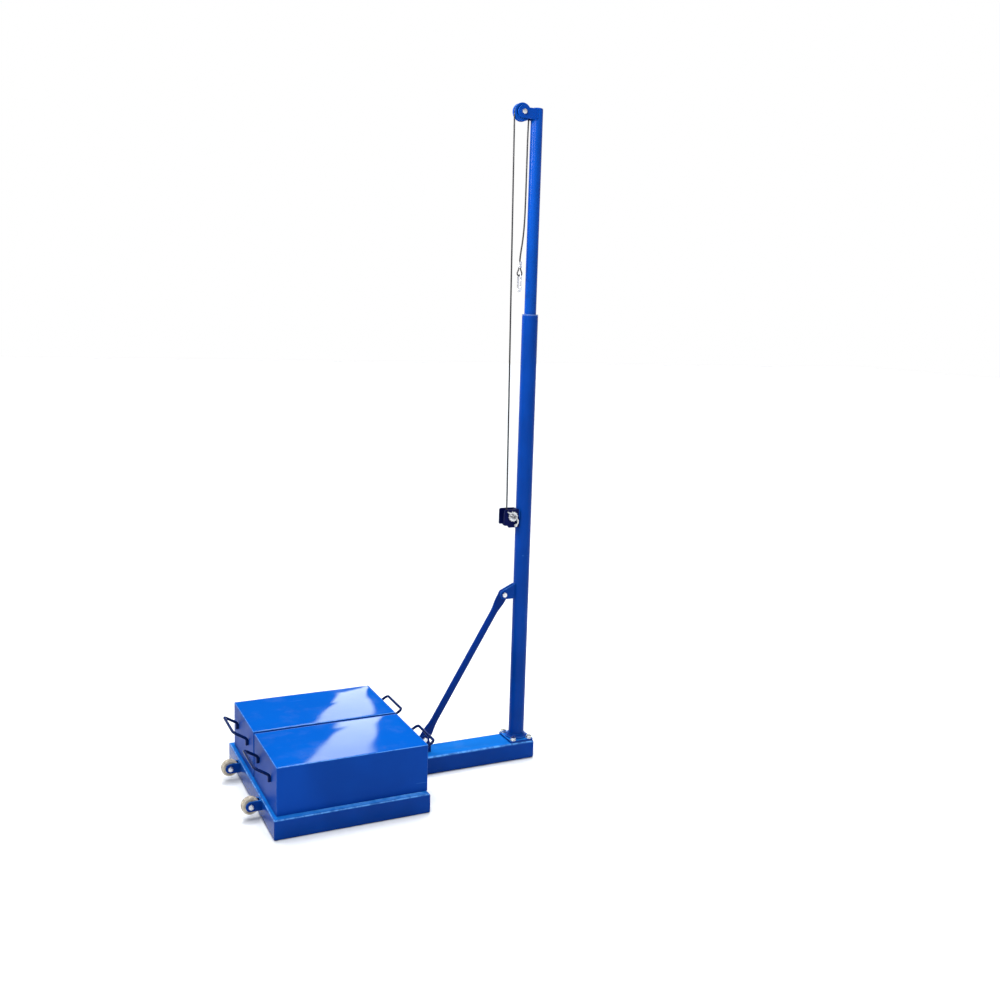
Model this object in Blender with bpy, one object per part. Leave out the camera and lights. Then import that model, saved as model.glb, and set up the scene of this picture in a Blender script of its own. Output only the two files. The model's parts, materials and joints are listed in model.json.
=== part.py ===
"""Freestanding volleyball net post: counterweighted base, telescopic mast, pulley head and ratchet winch.

Metres, +Z up. The mast stands on the Z axis, the ground is z = 0, and +X points to the court.
Near is the -Y side, far is the +Y side. Rear is the -X end, where the counterweights are.
"""

import math

import bmesh
import bpy
from mathutils import Vector

# Clearances
TOUCH = 0.0003          # between two pieces that are welded, bolted or laid together
RUNNING = 0.0008        # beside a piece that turns

# Base frame of rectangular tube, and the boom that runs through it to the mast
SECTION_HEIGHT = 0.070
RAIL_WIDTH = 0.050
RAIL_WALL = 0.003
RAIL_CORNER = 0.006
FRAME_REAR = -1.042
FRAME_FRONT = -0.500
FRAME_WIDTH = 0.710
BOOM_WIDTH = 0.120
BOOM_WALL = 0.004
BOOM_CORNER = 0.009
BOOM_END = 0.050
END_CAP = 0.004

# Counterweights: concrete-filled sheet steel boxes with rod handles at both ends
WEIGHT_REAR_GAP = 0.014     # from the box's rear face to the outer edge of the rear rail
WEIGHT_LENGTH = FRAME_FRONT - FRAME_REAR - WEIGHT_REAR_GAP
WEIGHT_WIDTH = 0.3215
WEIGHT_HEIGHT = 0.170
WEIGHT_SPACING = 0.014
WEIGHT_EDGE = 0.003
WEIGHT_SHEET = 0.0025
CONCRETE_SHORT = 0.002       # the filling stops this far above the rim of its box
HANDLE_ROD = 0.010
HANDLE_SPAN = 0.166
HANDLE_REACH = 0.048
HANDLE_RISE = 0.030
HANDLE_FOOT = 0.024
HANDLE_FOOT_HEIGHT = 0.090   # above the underside of the box
HANDLE_BEND = 0.013

# Transport wheels behind the rear rail
WHEEL_RADIUS = 0.030
WHEEL_WIDTH = 0.022
WHEEL_HUB = 0.012
WHEEL_AXLE_OUT = 0.036
WHEEL_AXLE_HEIGHT = 0.050
WHEEL_PLATE = 0.004
WHEEL_PLATE_RADIUS = 0.018

# Mast
LOWER_RADIUS = 0.03015
LOWER_WALL = 0.0029
LOWER_TOP = 1.715
UPPER_RADIUS = 0.02225
UPPER_WALL = 0.0025
UPPER_TOP = 2.450
UPPER_INSERT = 0.565         # length of the upper tube inside the lower one
BUSH_LENGTH = 0.030
BUSH_FLANGE = 0.005
CAP_HEIGHT = 0.006
CAP_PLUG = 0.020

# Mast foot
FOOT_LENGTH = 0.096
FOOT_WIDTH = 0.110
FOOT_PLATE = 0.008
FOOT_BOLT_X = 0.034
FOOT_BOLT_Y = 0.045
FOOT_RING_RADIUS = 0.041
FOOT_RING_HEIGHT = 0.012

# Height lock screw on the far side of the lower tube
LOCK_HEIGHT = LOWER_TOP - 0.055
LOCK_RADIUS = 0.006
LOCK_HEAD = 0.008
LOCK_TURN_ROOM = 0.004
LOCK_BAR_LENGTH = 0.050
LOCK_BAR_RADIUS = 0.003

# Brace between boom and mast
BRACE_TOP = (-0.0744, 0.6557)      # x and z of the upper bolt
BRACE_FOOT = (-0.3887, 0.1197)     # x and z of the lower bolt
BRACE_RADIUS = 0.016
BRACE_FLAT = 0.010                 # thickness of the flattened ends
BRACE_FLAT_WIDTH = 0.042
BRACE_TAPER = 0.060                # length over which the tube is pressed flat
BRACKET_PLATE = 0.005
BRACKET_EYE = 0.018
MAST_BRACKET_TOP = BRACE_TOP[1] + 0.0413
BOOM_LUG_LENGTH = 0.052

# Fasteners
FASTENER_SIDES = 12          # enough for a hexagon with a point on each corner and each flat
CHAMFER = 0.93               # share of the width that a hexagon keeps on its chamfered face
SHANK_POINT = 0.8            # share of the radius at a screw's tip
BOLT_RADIUS = 0.005
BOLT_FLATS = 0.017
BOLT_HEAD = 0.0065
NUT_HEIGHT = 0.008
FOOT_BOLT_RADIUS = 0.006
FOOT_BOLT_FLATS = 0.019
WASHER_RADIUS = 0.012
WASHER = 0.0022

# Pulley head
PULLEY_X = -0.061
PULLEY_Z = UPPER_TOP - 0.013
PULLEY_RADIUS = 0.0325
PULLEY_HALF_RIM = 0.0105
PULLEY_HUB_RADIUS = 0.012
CHEEK_SPACING = 0.031        # between the two plates
CHEEK_PLATE = 0.005
CHEEK_EYE = 0.0225
CHEEK_TOP = UPPER_TOP + 0.003

# Cable
CABLE_RADIUS = 0.003
CABLE_WRAP = 0.029           # radius of the cable's own line round the pulley

# Winch
WINCH_X = -0.057
WINCH_Z = 0.963
WINCH_PLATE = 0.004
WINCH_HALF_WIDTH = 0.0245
WINCH_REAR = -0.0918
WINCH_TOP = 0.989
WINCH_FOOT = 0.920
DRUM_RADIUS = 0.012
SHAFT_RADIUS = 0.008
DRUM_TURNS = 5
DRUM_PITCH = 0.0066
RATCHET_TIP = 0.0195
RATCHET_ROOT = 0.0162
RATCHET_THICKNESS = 0.005
RATCHET_TEETH = 12
RATCHET_STEP = math.radians(-28)     # direction of the tooth that the pawl holds
HUB_RADIUS = 0.009
HUB_LENGTH = 0.011
SOCKET = 0.006
BAR_RADIUS = 0.0025
BAR_LENGTH = 0.034
BAR_SEAT = 0.0035            # depth of the bar's hole in the boss
BAR_DIRECTION = math.radians(142)
PAWL_PIVOT = (-0.0455, 0.929)
PAWL_WIDTH = 0.0055
PAWL_BOW = 0.0065
PAWL_EYE = 0.0062
PAWL_PIN = 0.003

# Free end of the cable: sleeve, eye and snap hook
TAIL_ROUTE = [(-0.0322, 2.420), (-0.0334, 2.392), (-0.0342, 2.352), (-0.0343, 2.290), (-0.0343, 2.200),
              (-0.0346, 2.120), (-0.0360, 2.050), (-0.0402, 1.992), (-0.0452, 1.955), (-0.0482, 1.932)]
TAIL_X = -0.0495
SLEEVE_TOP = 1.910
SLEEVE_LENGTH = 0.022
SLEEVE_HALF = (0.0078, 0.0046)
EYE_CABLE = 0.0024
EYE_LEG = 0.0036
EYE_RADIUS = 0.0095
EYE_LENGTH = 0.020
HOOK_ROD = 0.003
HOOK_HALF_WIDTH = 0.012
HOOK_LENGTH = 0.062
GATE_RADIUS = 0.0024
GATE_LENGTH = 0.027

# Colours: red, green, blue, roughness, metallic
FINISHES = {
    "blue_enamel": (0.010, 0.075, 0.420, 0.28, 0.0),
    "light_blue_enamel": (0.045, 0.190, 0.650, 0.30, 0.0),
    "bright_blue_enamel": (0.012, 0.140, 0.680, 0.18, 0.0),
    "dark_blue_enamel": (0.006, 0.016, 0.110, 0.40, 0.0),
    "zinc": (0.720, 0.730, 0.740, 0.32, 1.0),
    "cream_nylon": (0.700, 0.600, 0.450, 0.50, 0.0),
    "black_cable": (0.012, 0.012, 0.014, 0.55, 0.0),
    "grey_nylon": (0.550, 0.600, 0.680, 0.45, 0.0),
    "concrete": (0.360, 0.350, 0.330, 0.90, 0.0),
}

SPLINE_STEPS = 40            # fine points between two points of a route, before they are spaced evenly

# For each axis: the two coordinates of the section across it, then the axis itself
PLANES = {"X": "YZX", "Y": "XZY", "Z": "XYZ"}


def clear_scene():
    """Remove what a new file holds."""
    for item in list(bpy.data.objects):
        bpy.data.objects.remove(item)


def finish(name):
    """The material of one paint or metal, made once."""
    if name in bpy.data.materials:
        return bpy.data.materials[name]
    red, green, blue, roughness, metallic = FINISHES[name]
    material = bpy.data.materials.new(name)
    material.use_nodes = True
    shader = material.node_tree.nodes["Principled BSDF"]
    shader.inputs["Base Color"].default_value = (red, green, blue, 1)
    shader.inputs["Roughness"].default_value = roughness
    shader.inputs["Metallic"].default_value = metallic
    material.diffuse_color = (red, green, blue, 1)
    return material


def joint_empty(name, at, parent=None):
    """An empty on the axis of a joint, which carries the pieces that move about it."""
    empty = bpy.data.objects.new(name, None)
    bpy.context.collection.objects.link(empty)
    empty.empty_display_size = 0.05
    empty["world"] = at
    hang(empty, at, parent)
    return empty


def hang(item, at, parent):
    """Put an object at a world place under a parent that is not turned."""
    item.location = at
    if parent is not None:
        item.parent = parent
        item.location = Vector(at) - Vector(parent["world"])


def solid(name, mesh_data, colour, at=(0, 0, 0), parent=None, smooth=True):
    """Turn a bmesh, whose points are measured from the place `at`, into an object."""
    bmesh.ops.recalc_face_normals(mesh_data, faces=mesh_data.faces[:])
    mesh = bpy.data.meshes.new(name)
    mesh_data.to_mesh(mesh)
    mesh_data.free()
    mesh.materials.append(finish(colour))
    if smooth:
        mesh.shade_smooth()
        mesh.set_sharp_from_angle(angle=math.radians(35))
    item = bpy.data.objects.new(name, mesh)
    bpy.context.collection.objects.link(item)
    hang(item, at, parent)
    return item


def combine(item, tool, operation="DIFFERENCE"):
    """Cut, join or intersect an object with a guide that is left out of the model."""
    tool.hide_render = True
    tool.display_type = "WIRE"
    change = item.modifiers.new(operation.lower(), "BOOLEAN")
    change.operation = operation
    change.solver = "EXACT"
    change.object = tool


def spot(plane, u, v, depth):
    """A point from its two coordinates in a section plane and its depth along the plane's axis."""
    values = dict(zip(PLANES[plane], (u, v, depth)))
    return [values[axis] for axis in "XYZ"]


def circle(radius, count=24, centre=(0, 0), start=0.0):
    """Points round a circle."""
    return [(centre[0] + radius * math.cos(start + 2 * math.pi * i / count),
             centre[1] + radius * math.sin(start + 2 * math.pi * i / count)) for i in range(count)]


def polygon_ring(flats, sides, count):
    """Points round a regular polygon, given the distance across its flats."""
    points = []
    half = math.pi / sides
    for i in range(count):
        angle = 2 * math.pi * i / count
        off = (angle + half) % (2 * half) - half
        radius = flats / 2 / math.cos(off)
        points.append((radius * math.cos(angle), radius * math.sin(angle)))
    return points


def arc(centre, radius, start, end, steps):
    """Points along an arc, both ends included."""
    return [(centre[0] + radius * math.cos(start + (end - start) * i / steps),
             centre[1] + radius * math.sin(start + (end - start) * i / steps)) for i in range(steps + 1)]


def rounded_rectangle(u0, u1, v0, v1, radius, steps=4):
    """Outline of a rectangle with round corners."""
    quarter = math.pi / 2
    corners = [((u1 - radius, v1 - radius), 0), ((u0 + radius, v1 - radius), 1),
               ((u0 + radius, v0 + radius), 2), ((u1 - radius, v0 + radius), 3)]
    points = []
    for centre, turn in corners:
        points += arc(centre, radius, turn * quarter, (turn + 1) * quarter, steps)
    return points


def stadium(half_width, half_height, count=24):
    """A slot-shaped ring: a circle that is pulled apart along its first axis."""
    reach = half_width - half_height
    points = []
    for i in range(count):
        angle = 2 * math.pi * (i + 0.5) / count
        side = 1 if math.cos(angle) > 0 else -1
        points.append((side * reach + half_height * math.cos(angle), half_height * math.sin(angle)))
    return points


def loft(rings, loop=False):
    """Skin rings of equally many points. A loop closes on itself, such as a tube with a bore."""
    mesh_data = bmesh.new()
    rows = [[mesh_data.verts.new(point) for point in ring] for ring in rings]
    pairs = list(zip(rows, rows[1:]))
    if loop:
        pairs.append((rows[-1], rows[0]))
    else:
        mesh_data.faces.new(rows[0])
        mesh_data.faces.new(rows[-1])
    for lower, upper in pairs:
        for i in range(len(lower)):
            j = (i + 1) % len(lower)
            mesh_data.faces.new((lower[i], lower[j], upper[j], upper[i]))
    return mesh_data


def turned(profile, axis, count=24, loop=False):
    """A lathe form from (radius, distance along the axis) pairs."""
    rings = []
    for radius, along in profile:
        rings.append([spot(axis, u, v, along) for u, v in circle(radius, count)])
    return loft(rings, loop)


def plate(outline, holes, low, high, plane):
    """A flat plate with holes: an outline filled and extruded along the plane's axis."""
    mesh_data = bmesh.new()
    for loop in [outline] + holes:
        verts = [mesh_data.verts.new(spot(plane, u, v, low)) for u, v in loop]
        for i, vert in enumerate(verts):
            mesh_data.edges.new((vert, verts[(i + 1) % len(verts)]))
    bmesh.ops.triangle_fill(mesh_data, edges=mesh_data.edges[:], use_beauty=True)
    grown = bmesh.ops.extrude_face_region(mesh_data, geom=mesh_data.faces[:])
    moved = [item for item in grown["geom"] if isinstance(item, bmesh.types.BMVert)]
    bmesh.ops.translate(mesh_data, verts=moved, vec=spot(plane, 0, 0, high - low))
    return mesh_data


def smooth_route(points, spacing):
    """Even points along a Catmull-Rom curve through the route's points."""
    knots = [Vector(p) for p in points]
    knots = [2 * knots[0] - knots[1]] + knots + [2 * knots[-1] - knots[-2]]
    fine = []
    for a, b, c, d in zip(knots, knots[1:], knots[2:], knots[3:]):
        for i in range(SPLINE_STEPS):
            t = i / SPLINE_STEPS
            fine.append(0.5 * ((2 * b) + (c - a) * t + (2 * a - 5 * b + 4 * c - d) * t * t
                               + (3 * b - a - 3 * c + d) * t * t * t))
    fine.append(knots[-2])
    total = sum((q - p).length for p, q in zip(fine, fine[1:]))
    steps = max(2, round(total / spacing))
    even = [fine[0]]
    walked = 0.0
    for p, q in zip(fine, fine[1:]):
        length = (q - p).length
        while len(even) < steps and walked + length >= len(even) * total / steps:
            even.append(p.lerp(q, (len(even) * total / steps - walked) / length))
        walked += length
    return even + [fine[-1]]


def bent_path(corners, radius, steps=4):
    """A rod's centre line: straight runs joined by bends of one radius."""
    knots = [Vector(p) for p in corners]
    path = [knots[0]]
    for before, here, after in zip(knots, knots[1:], knots[2:]):
        into = (before - here).normalized()
        out = (after - here).normalized()
        half = into.angle(out) / 2
        back = radius / math.tan(half)
        centre = here + (into + out).normalized() * radius / math.sin(half)
        first = (here + into * back - centre).normalized()
        last = (here + out * back - centre).normalized()
        path += [centre + first.slerp(last, i / steps) * radius for i in range(steps + 1)]
    return path + [knots[-1]]


def rod(name, path, radius, colour, at=(0, 0, 0), parent=None, resolution=2):
    """A round bar or a cable along a path of world points."""
    line = bpy.data.curves.new(name, "CURVE")
    line.dimensions = "3D"
    line.bevel_depth = radius
    line.bevel_resolution = resolution
    line.use_fill_caps = True
    spline = line.splines.new("POLY")
    spline.points.add(len(path) - 1)
    for point, place in zip(spline.points, path):
        point.co = (*(Vector(place) - Vector(at)), 1)
    line.materials.append(finish(colour))
    item = bpy.data.objects.new(name, line)
    bpy.context.collection.objects.link(item)
    hang(item, at, parent)
    return item


def drill(name, radius, axis, low, high, at_uv, count=16):
    """A round cutter along an axis."""
    rings = [[spot(axis, u, v, along) for u, v in circle(radius, count, at_uv)] for along in (low, high)]
    return solid(name, loft(rings), "zinc")


def hex_fastener(name, axis, seat, outward, colour, centre, flats, head, shank, length,
                 washer=0.0, parent=None, at=(0, 0, 0)):
    """A hexagon bolt: washer and head outward of the seat, shank inward of it, as one turned piece."""
    count = FASTENER_SIDES
    rise = outward * head
    lift = outward * washer
    sections = [(polygon_ring(flats * CHAMFER, 6, count), seat + lift + rise),
                (polygon_ring(flats, 6, count), seat + lift + rise * 0.85),
                (polygon_ring(flats, 6, count), seat + lift)]
    if washer:
        sections += [(circle(WASHER_RADIUS, count), seat + lift), (circle(WASHER_RADIUS, count), seat)]
    sections += [(circle(shank, count), seat), (circle(shank, count), seat - outward * (length - 0.001)),
                 (circle(shank * SHANK_POINT, count), seat - outward * length)]
    rings = [[Vector(spot(axis, centre[0] + u, centre[1] + v, along)) - Vector(at) for u, v in ring]
             for ring, along in sections]
    return solid(name, loft(rings), colour, at, parent)


def hex_nut(name, axis, seat, outward, centre, flats, height, bore, parent=None, at=(0, 0, 0)):
    """A nut with a plain bore."""
    count = FASTENER_SIDES
    far = seat + outward * height
    sections = [(polygon_ring(flats, 6, count), seat), (polygon_ring(flats, 6, count), far - outward * 0.001),
                (polygon_ring(flats * CHAMFER, 6, count), far), (circle(bore, count), far),
                (circle(bore, count), seat)]
    rings = [[Vector(spot(axis, centre[0] + u, centre[1] + v, along)) - Vector(at) for u, v in ring]
             for ring, along in sections]
    return solid(name, loft(rings, loop=True), "zinc", at, parent)


def hollow_rail(name, plane, u_range, v_range, wall, corner, low_end, high_end):
    """A rectangular tube along the plane's axis. Its ends are functions of the outward coordinate u."""
    outer = rounded_rectangle(*u_range, *v_range, corner)
    inner = rounded_rectangle(u_range[0] + wall, u_range[1] - wall, v_range[0] + wall, v_range[1] - wall,
                              max(corner - wall, 0.001))
    rings = []
    for ring, end in ((outer, low_end), (outer, high_end), (inner, high_end), (inner, low_end)):
        rings.append([spot(plane, u, v, end(u)) for u, v in ring])
    return solid(name, loft(rings, loop=True), "blue_enamel")


def base_frame():
    """Four rails mitred at the corners, the front one in two halves beside the boom."""
    half = FRAME_WIDTH / 2
    height = (0, SECTION_HEIGHT)
    mitre = TOUCH / 2 * math.sqrt(2)
    hollow_rail("rear_rail", "Y", (FRAME_REAR, FRAME_REAR + RAIL_WIDTH), height, RAIL_WALL, RAIL_CORNER,
                lambda x: -half + (x - FRAME_REAR) + mitre, lambda x: half - (x - FRAME_REAR) - mitre)
    for side, name in ((-1, "near_rail"), (1, "far_rail")):
        edges = sorted((side * half, side * (half - RAIL_WIDTH)))
        hollow_rail(name, "X", edges, height, RAIL_WALL, RAIL_CORNER,
                    lambda y: FRAME_REAR + (half - abs(y)) + mitre, lambda y: FRAME_FRONT - (half - abs(y)) - mitre)
    beside = BOOM_WIDTH / 2 + TOUCH
    front = (FRAME_FRONT - RAIL_WIDTH, FRAME_FRONT)
    hollow_rail("front_rail_near", "Y", front, height, RAIL_WALL, RAIL_CORNER,
                lambda x: -half + (FRAME_FRONT - x) + mitre, lambda x: -beside)
    hollow_rail("front_rail_far", "Y", front, height, RAIL_WALL, RAIL_CORNER,
                lambda x: beside, lambda x: half - (FRAME_FRONT - x) - mitre)


def boom():
    """The long rectangular tube that carries the mast, with a welded end plate and four bolt holes."""
    start = FRAME_REAR + RAIL_WIDTH + TOUCH
    end = BOOM_END - END_CAP - TOUCH
    half = BOOM_WIDTH / 2
    tube = hollow_rail("boom", "X", (-half, half), (0, SECTION_HEIGHT), BOOM_WALL, BOOM_CORNER,
                       lambda y: start, lambda y: end)
    drills = bmesh.new()
    for x, y in foot_bolt_places():
        hole = circle(FOOT_BOLT_RADIUS + 0.0005, 16, (x, y))
        part = loft([[spot("Z", u, v, z) for u, v in hole] for z in (SECTION_HEIGHT / 2, SECTION_HEIGHT + 0.01)])
        scratch = bpy.data.meshes.new("drill")
        bmesh.ops.recalc_face_normals(part, faces=part.faces[:])
        part.to_mesh(scratch)
        part.free()
        drills.from_mesh(scratch)
    combine(tube, solid("boom_drills", drills, "zinc"))
    outline = rounded_rectangle(-half, half, 0, SECTION_HEIGHT, BOOM_CORNER)
    middle = Vector((0, SECTION_HEIGHT / 2))
    small = [(u * (1 - 0.0015 / half), middle.y + (v - middle.y) * (1 - 0.003 / SECTION_HEIGHT)) for u, v in outline]
    rings = [[spot("X", u, v, BOOM_END - END_CAP) for u, v in outline],
             [spot("X", u, v, BOOM_END - 0.0015) for u, v in outline],
             [spot("X", u, v, BOOM_END) for u, v in small]]
    solid("boom_end_cap", loft(rings), "blue_enamel")


def foot_bolt_places():
    """The four bolts of the mast's foot, as (x, y)."""
    return [(sx * FOOT_BOLT_X, sy * FOOT_BOLT_Y) for sx in (-1, 1) for sy in (-1, 1)]


def mast_foot():
    """Foot plate, weld ring and the four bolts that hold the plate on the boom."""
    low = SECTION_HEIGHT + TOUCH
    high = low + FOOT_PLATE
    outline = rounded_rectangle(-FOOT_LENGTH / 2, FOOT_LENGTH / 2, -FOOT_WIDTH / 2, FOOT_WIDTH / 2, 0.004, 3)
    holes = [circle(FOOT_BOLT_RADIUS + 0.0005, 16, place) for place in foot_bolt_places()]
    solid("foot_plate", plate(outline, holes, low, high, "Z"), "blue_enamel", smooth=False)
    for number, place in enumerate(foot_bolt_places(), 1):
        hex_fastener(f"foot_bolt_{number}", "Z", high + TOUCH, 1, "zinc", place, FOOT_BOLT_FLATS, 0.008,
                     FOOT_BOLT_RADIUS, 0.022, WASHER)
    ring_low = high + TOUCH
    inner = LOWER_RADIUS + TOUCH
    profile = [(inner, ring_low), (FOOT_RING_RADIUS, ring_low), (FOOT_RING_RADIUS, ring_low + 0.004),
               (inner + 0.005, ring_low + 0.007), (inner + 0.002, ring_low + FOOT_RING_HEIGHT),
               (inner, ring_low + FOOT_RING_HEIGHT)]
    solid("foot_ring", turned(profile, "Z", 32, loop=True), "blue_enamel")


def mast_lower():
    """The outer mast tube, its guide bush and the height lock."""
    low = SECTION_HEIGHT + FOOT_PLATE + 2 * TOUCH
    bore = LOWER_RADIUS - LOWER_WALL
    profile = [(LOWER_RADIUS, low), (LOWER_RADIUS, LOWER_TOP), (bore, LOWER_TOP), (bore, low)]
    tube = solid("mast_lower", turned(profile, "Z", 32, loop=True), "blue_enamel")
    combine(tube, drill("lock_drill", LOCK_RADIUS + 0.0005, "Y", 0.01, LOWER_RADIUS + 0.01, (0, LOCK_HEIGHT)))
    seat = LOWER_TOP + TOUCH
    inner = UPPER_RADIUS + TOUCH
    sleeve = bore - TOUCH
    profile = [(inner, seat + BUSH_FLANGE), (LOWER_RADIUS - 0.001, seat + BUSH_FLANGE),
               (LOWER_RADIUS, seat + BUSH_FLANGE - 0.001), (LOWER_RADIUS, seat), (sleeve, seat),
               (sleeve, seat - BUSH_LENGTH), (inner, seat - BUSH_LENGTH)]
    solid("mast_guide_bush", turned(profile, "Z", 32, loop=True), "grey_nylon")
    lock_screw()


def lock_screw():
    """A welded nut and a screw with a cross bar, which presses on the upper tube."""
    seat = LOWER_RADIUS + TOUCH
    outer = seat + 0.010
    hex_nut("lock_nut", "Y", seat, 1, (0, LOCK_HEIGHT), FOOT_BOLT_FLATS, 0.010, LOCK_RADIUS + TOUCH)
    under = outer + LOCK_TURN_ROOM
    joint = joint_empty("lock_screw_joint", (0, under, LOCK_HEIGHT))
    tip = UPPER_RADIUS + TOUCH
    profile = [(LOCK_RADIUS * SHANK_POINT, tip - under), (LOCK_RADIUS, tip - under + 0.0015), (LOCK_RADIUS, 0),
               (0.0095, 0), (0.0095, LOCK_HEAD - 0.001), (0.0085, LOCK_HEAD)]
    at = (0, under, LOCK_HEIGHT)
    screw = solid("lock_screw", turned(profile, "Y", 16), "zinc", at, joint)
    length = LOCK_BAR_LENGTH / 2
    profile = [(LOCK_BAR_RADIUS * 0.7, -length), (LOCK_BAR_RADIUS, -length + 0.001),
               (LOCK_BAR_RADIUS, length - 0.001), (LOCK_BAR_RADIUS * 0.7, length)]
    bar = solid("lock_bar_form", turned(profile, "Z", 12), "zinc", (0, under + LOCK_HEAD / 2, LOCK_HEIGHT))
    combine(screw, bar, "UNION")


def mast_upper(slide):
    """The inner mast tube with its cap and the bush at its lower end."""
    low = LOWER_TOP - UPPER_INSERT
    at = (0, 0, LOWER_TOP)
    bore = UPPER_RADIUS - UPPER_WALL
    profile = [(UPPER_RADIUS, low - at[2]), (UPPER_RADIUS, UPPER_TOP - at[2]), (bore, UPPER_TOP - at[2]),
               (bore, low - at[2])]
    solid("mast_upper", turned(profile, "Z", 32, loop=True), "light_blue_enamel", at, slide)
    rim = UPPER_RADIUS - 0.0001
    seat = UPPER_TOP + TOUCH - at[2]
    profile = [(bore - TOUCH, seat - CAP_PLUG), (bore - TOUCH, seat), (rim, seat), (rim, seat + CAP_HEIGHT - 0.003),
               (rim - 0.001, seat + CAP_HEIGHT - 0.001), (rim - 0.003, seat + CAP_HEIGHT)]
    solid("mast_cap", turned(profile, "Z", 32), "light_blue_enamel", at, slide)
    foot = low - at[2]
    inner = UPPER_RADIUS + TOUCH
    outer = LOWER_RADIUS - LOWER_WALL - TOUCH
    profile = [(inner, foot), (outer, foot), (outer, foot + BUSH_LENGTH), (inner, foot + BUSH_LENGTH)]
    solid("mast_slide_bush", turned(profile, "Z", 32, loop=True), "grey_nylon", at, slide)


def pulley_head(slide):
    """Two cheek plates coped to the upper tube, with the sheave on a bolt between them."""
    axle = (PULLEY_X, PULLEY_Z)
    inner = CHEEK_SPACING / 2
    outer = inner + CHEEK_PLATE
    side = CHEEK_TOP - PULLEY_Z
    start = math.asin(side / CHEEK_EYE)
    outline = [(0.0, CHEEK_TOP)] + arc(axle, CHEEK_EYE, start, 1.5 * math.pi, 14) + [(0.0, PULLEY_Z - CHEEK_EYE)]
    hole = circle(BOLT_RADIUS + TOUCH, 12, axle)
    at = (PULLEY_X, 0, PULLEY_Z)
    cope = drill("cheek_cope", UPPER_RADIUS + TOUCH, "Z", PULLEY_Z - 2 * CHEEK_EYE, CHEEK_TOP + CHEEK_EYE, (0, 0), 64)
    for sign, name in ((-1, "pulley_cheek_near"), (1, "pulley_cheek_far")):
        low, high = sorted((sign * inner, sign * outer))
        local = [[(u - at[0], v - at[2]) for u, v in ring] for ring in (outline, hole)]
        cheek = solid(name, plate(local[0], [local[1]], low, high, "Y"), "blue_enamel", at, slide, smooth=False)
        combine(cheek, cope)
    seat = outer + TOUCH
    hex_fastener("axle_bolt", "Y", -seat, -1, "zinc", axle, BOLT_FLATS, BOLT_HEAD, BOLT_RADIUS,
                 2 * seat + NUT_HEIGHT + 0.003, 0.0, slide, at)
    hex_nut("axle_nut", "Y", seat, 1, axle, BOLT_FLATS, NUT_HEIGHT, BOLT_RADIUS + TOUCH, slide, at)
    spin = joint_empty("pulley_joint", at, slide)
    solid("pulley", turned(sheave_profile(inner - RUNNING), "Y", 28, loop=True), "light_blue_enamel", at, spin)


def sheave_profile(half_hub):
    """Half section of the pulley: bore, hub, thin web, rim and the groove that the cable lies in."""
    groove = CABLE_WRAP - CABLE_RADIUS - TOUCH
    half_groove = CABLE_RADIUS + 0.001
    web = 0.006
    one_side = [(BOLT_RADIUS + TOUCH, half_hub), (PULLEY_HUB_RADIUS, half_hub), (PULLEY_HUB_RADIUS, web),
                (groove - 0.004, web), (groove - 0.002, PULLEY_HALF_RIM), (PULLEY_RADIUS, PULLEY_HALF_RIM),
                (PULLEY_RADIUS, PULLEY_HALF_RIM - 0.002), (CABLE_WRAP, half_groove),
                (groove + 0.0009, half_groove - 0.0008), (groove, half_groove - 0.0025)]
    return [(r, -y) for r, y in one_side] + list(reversed(one_side))


def brace_bolt_set(name, centre):
    """Bolt and nut through a bracket and the flattened end of the brace."""
    seat = BRACE_FLAT / 2 + TOUCH + BRACKET_PLATE + TOUCH
    hex_fastener(f"brace_bolt_{name}", "Y", -seat, -1, "zinc", centre, BOLT_FLATS, BOLT_HEAD, BOLT_RADIUS,
                 2 * seat + NUT_HEIGHT + 0.003)
    hex_nut(f"brace_nut_{name}", "Y", seat, 1, centre, BOLT_FLATS, NUT_HEIGHT, BOLT_RADIUS + TOUCH)


def folded_bracket(name, section, plane, low, high, side_outline, side_holes, colour="blue_enamel"):
    """A U-shaped bracket: its section extruded, then cut to the outline of its cheeks."""
    bracket = solid(name, plate(section, [], low, high, plane), colour, smooth=False)
    reach = 0.06
    middle = sum(v for _, v in section) / len(section) if plane == "Z" else sum(u for u, _ in section) / len(section)
    form = plate(side_outline, side_holes, middle - reach, middle + reach, "Y")
    combine(bracket, solid(f"{name}_outline", form, colour, smooth=False), "INTERSECT")
    return bracket


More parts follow.
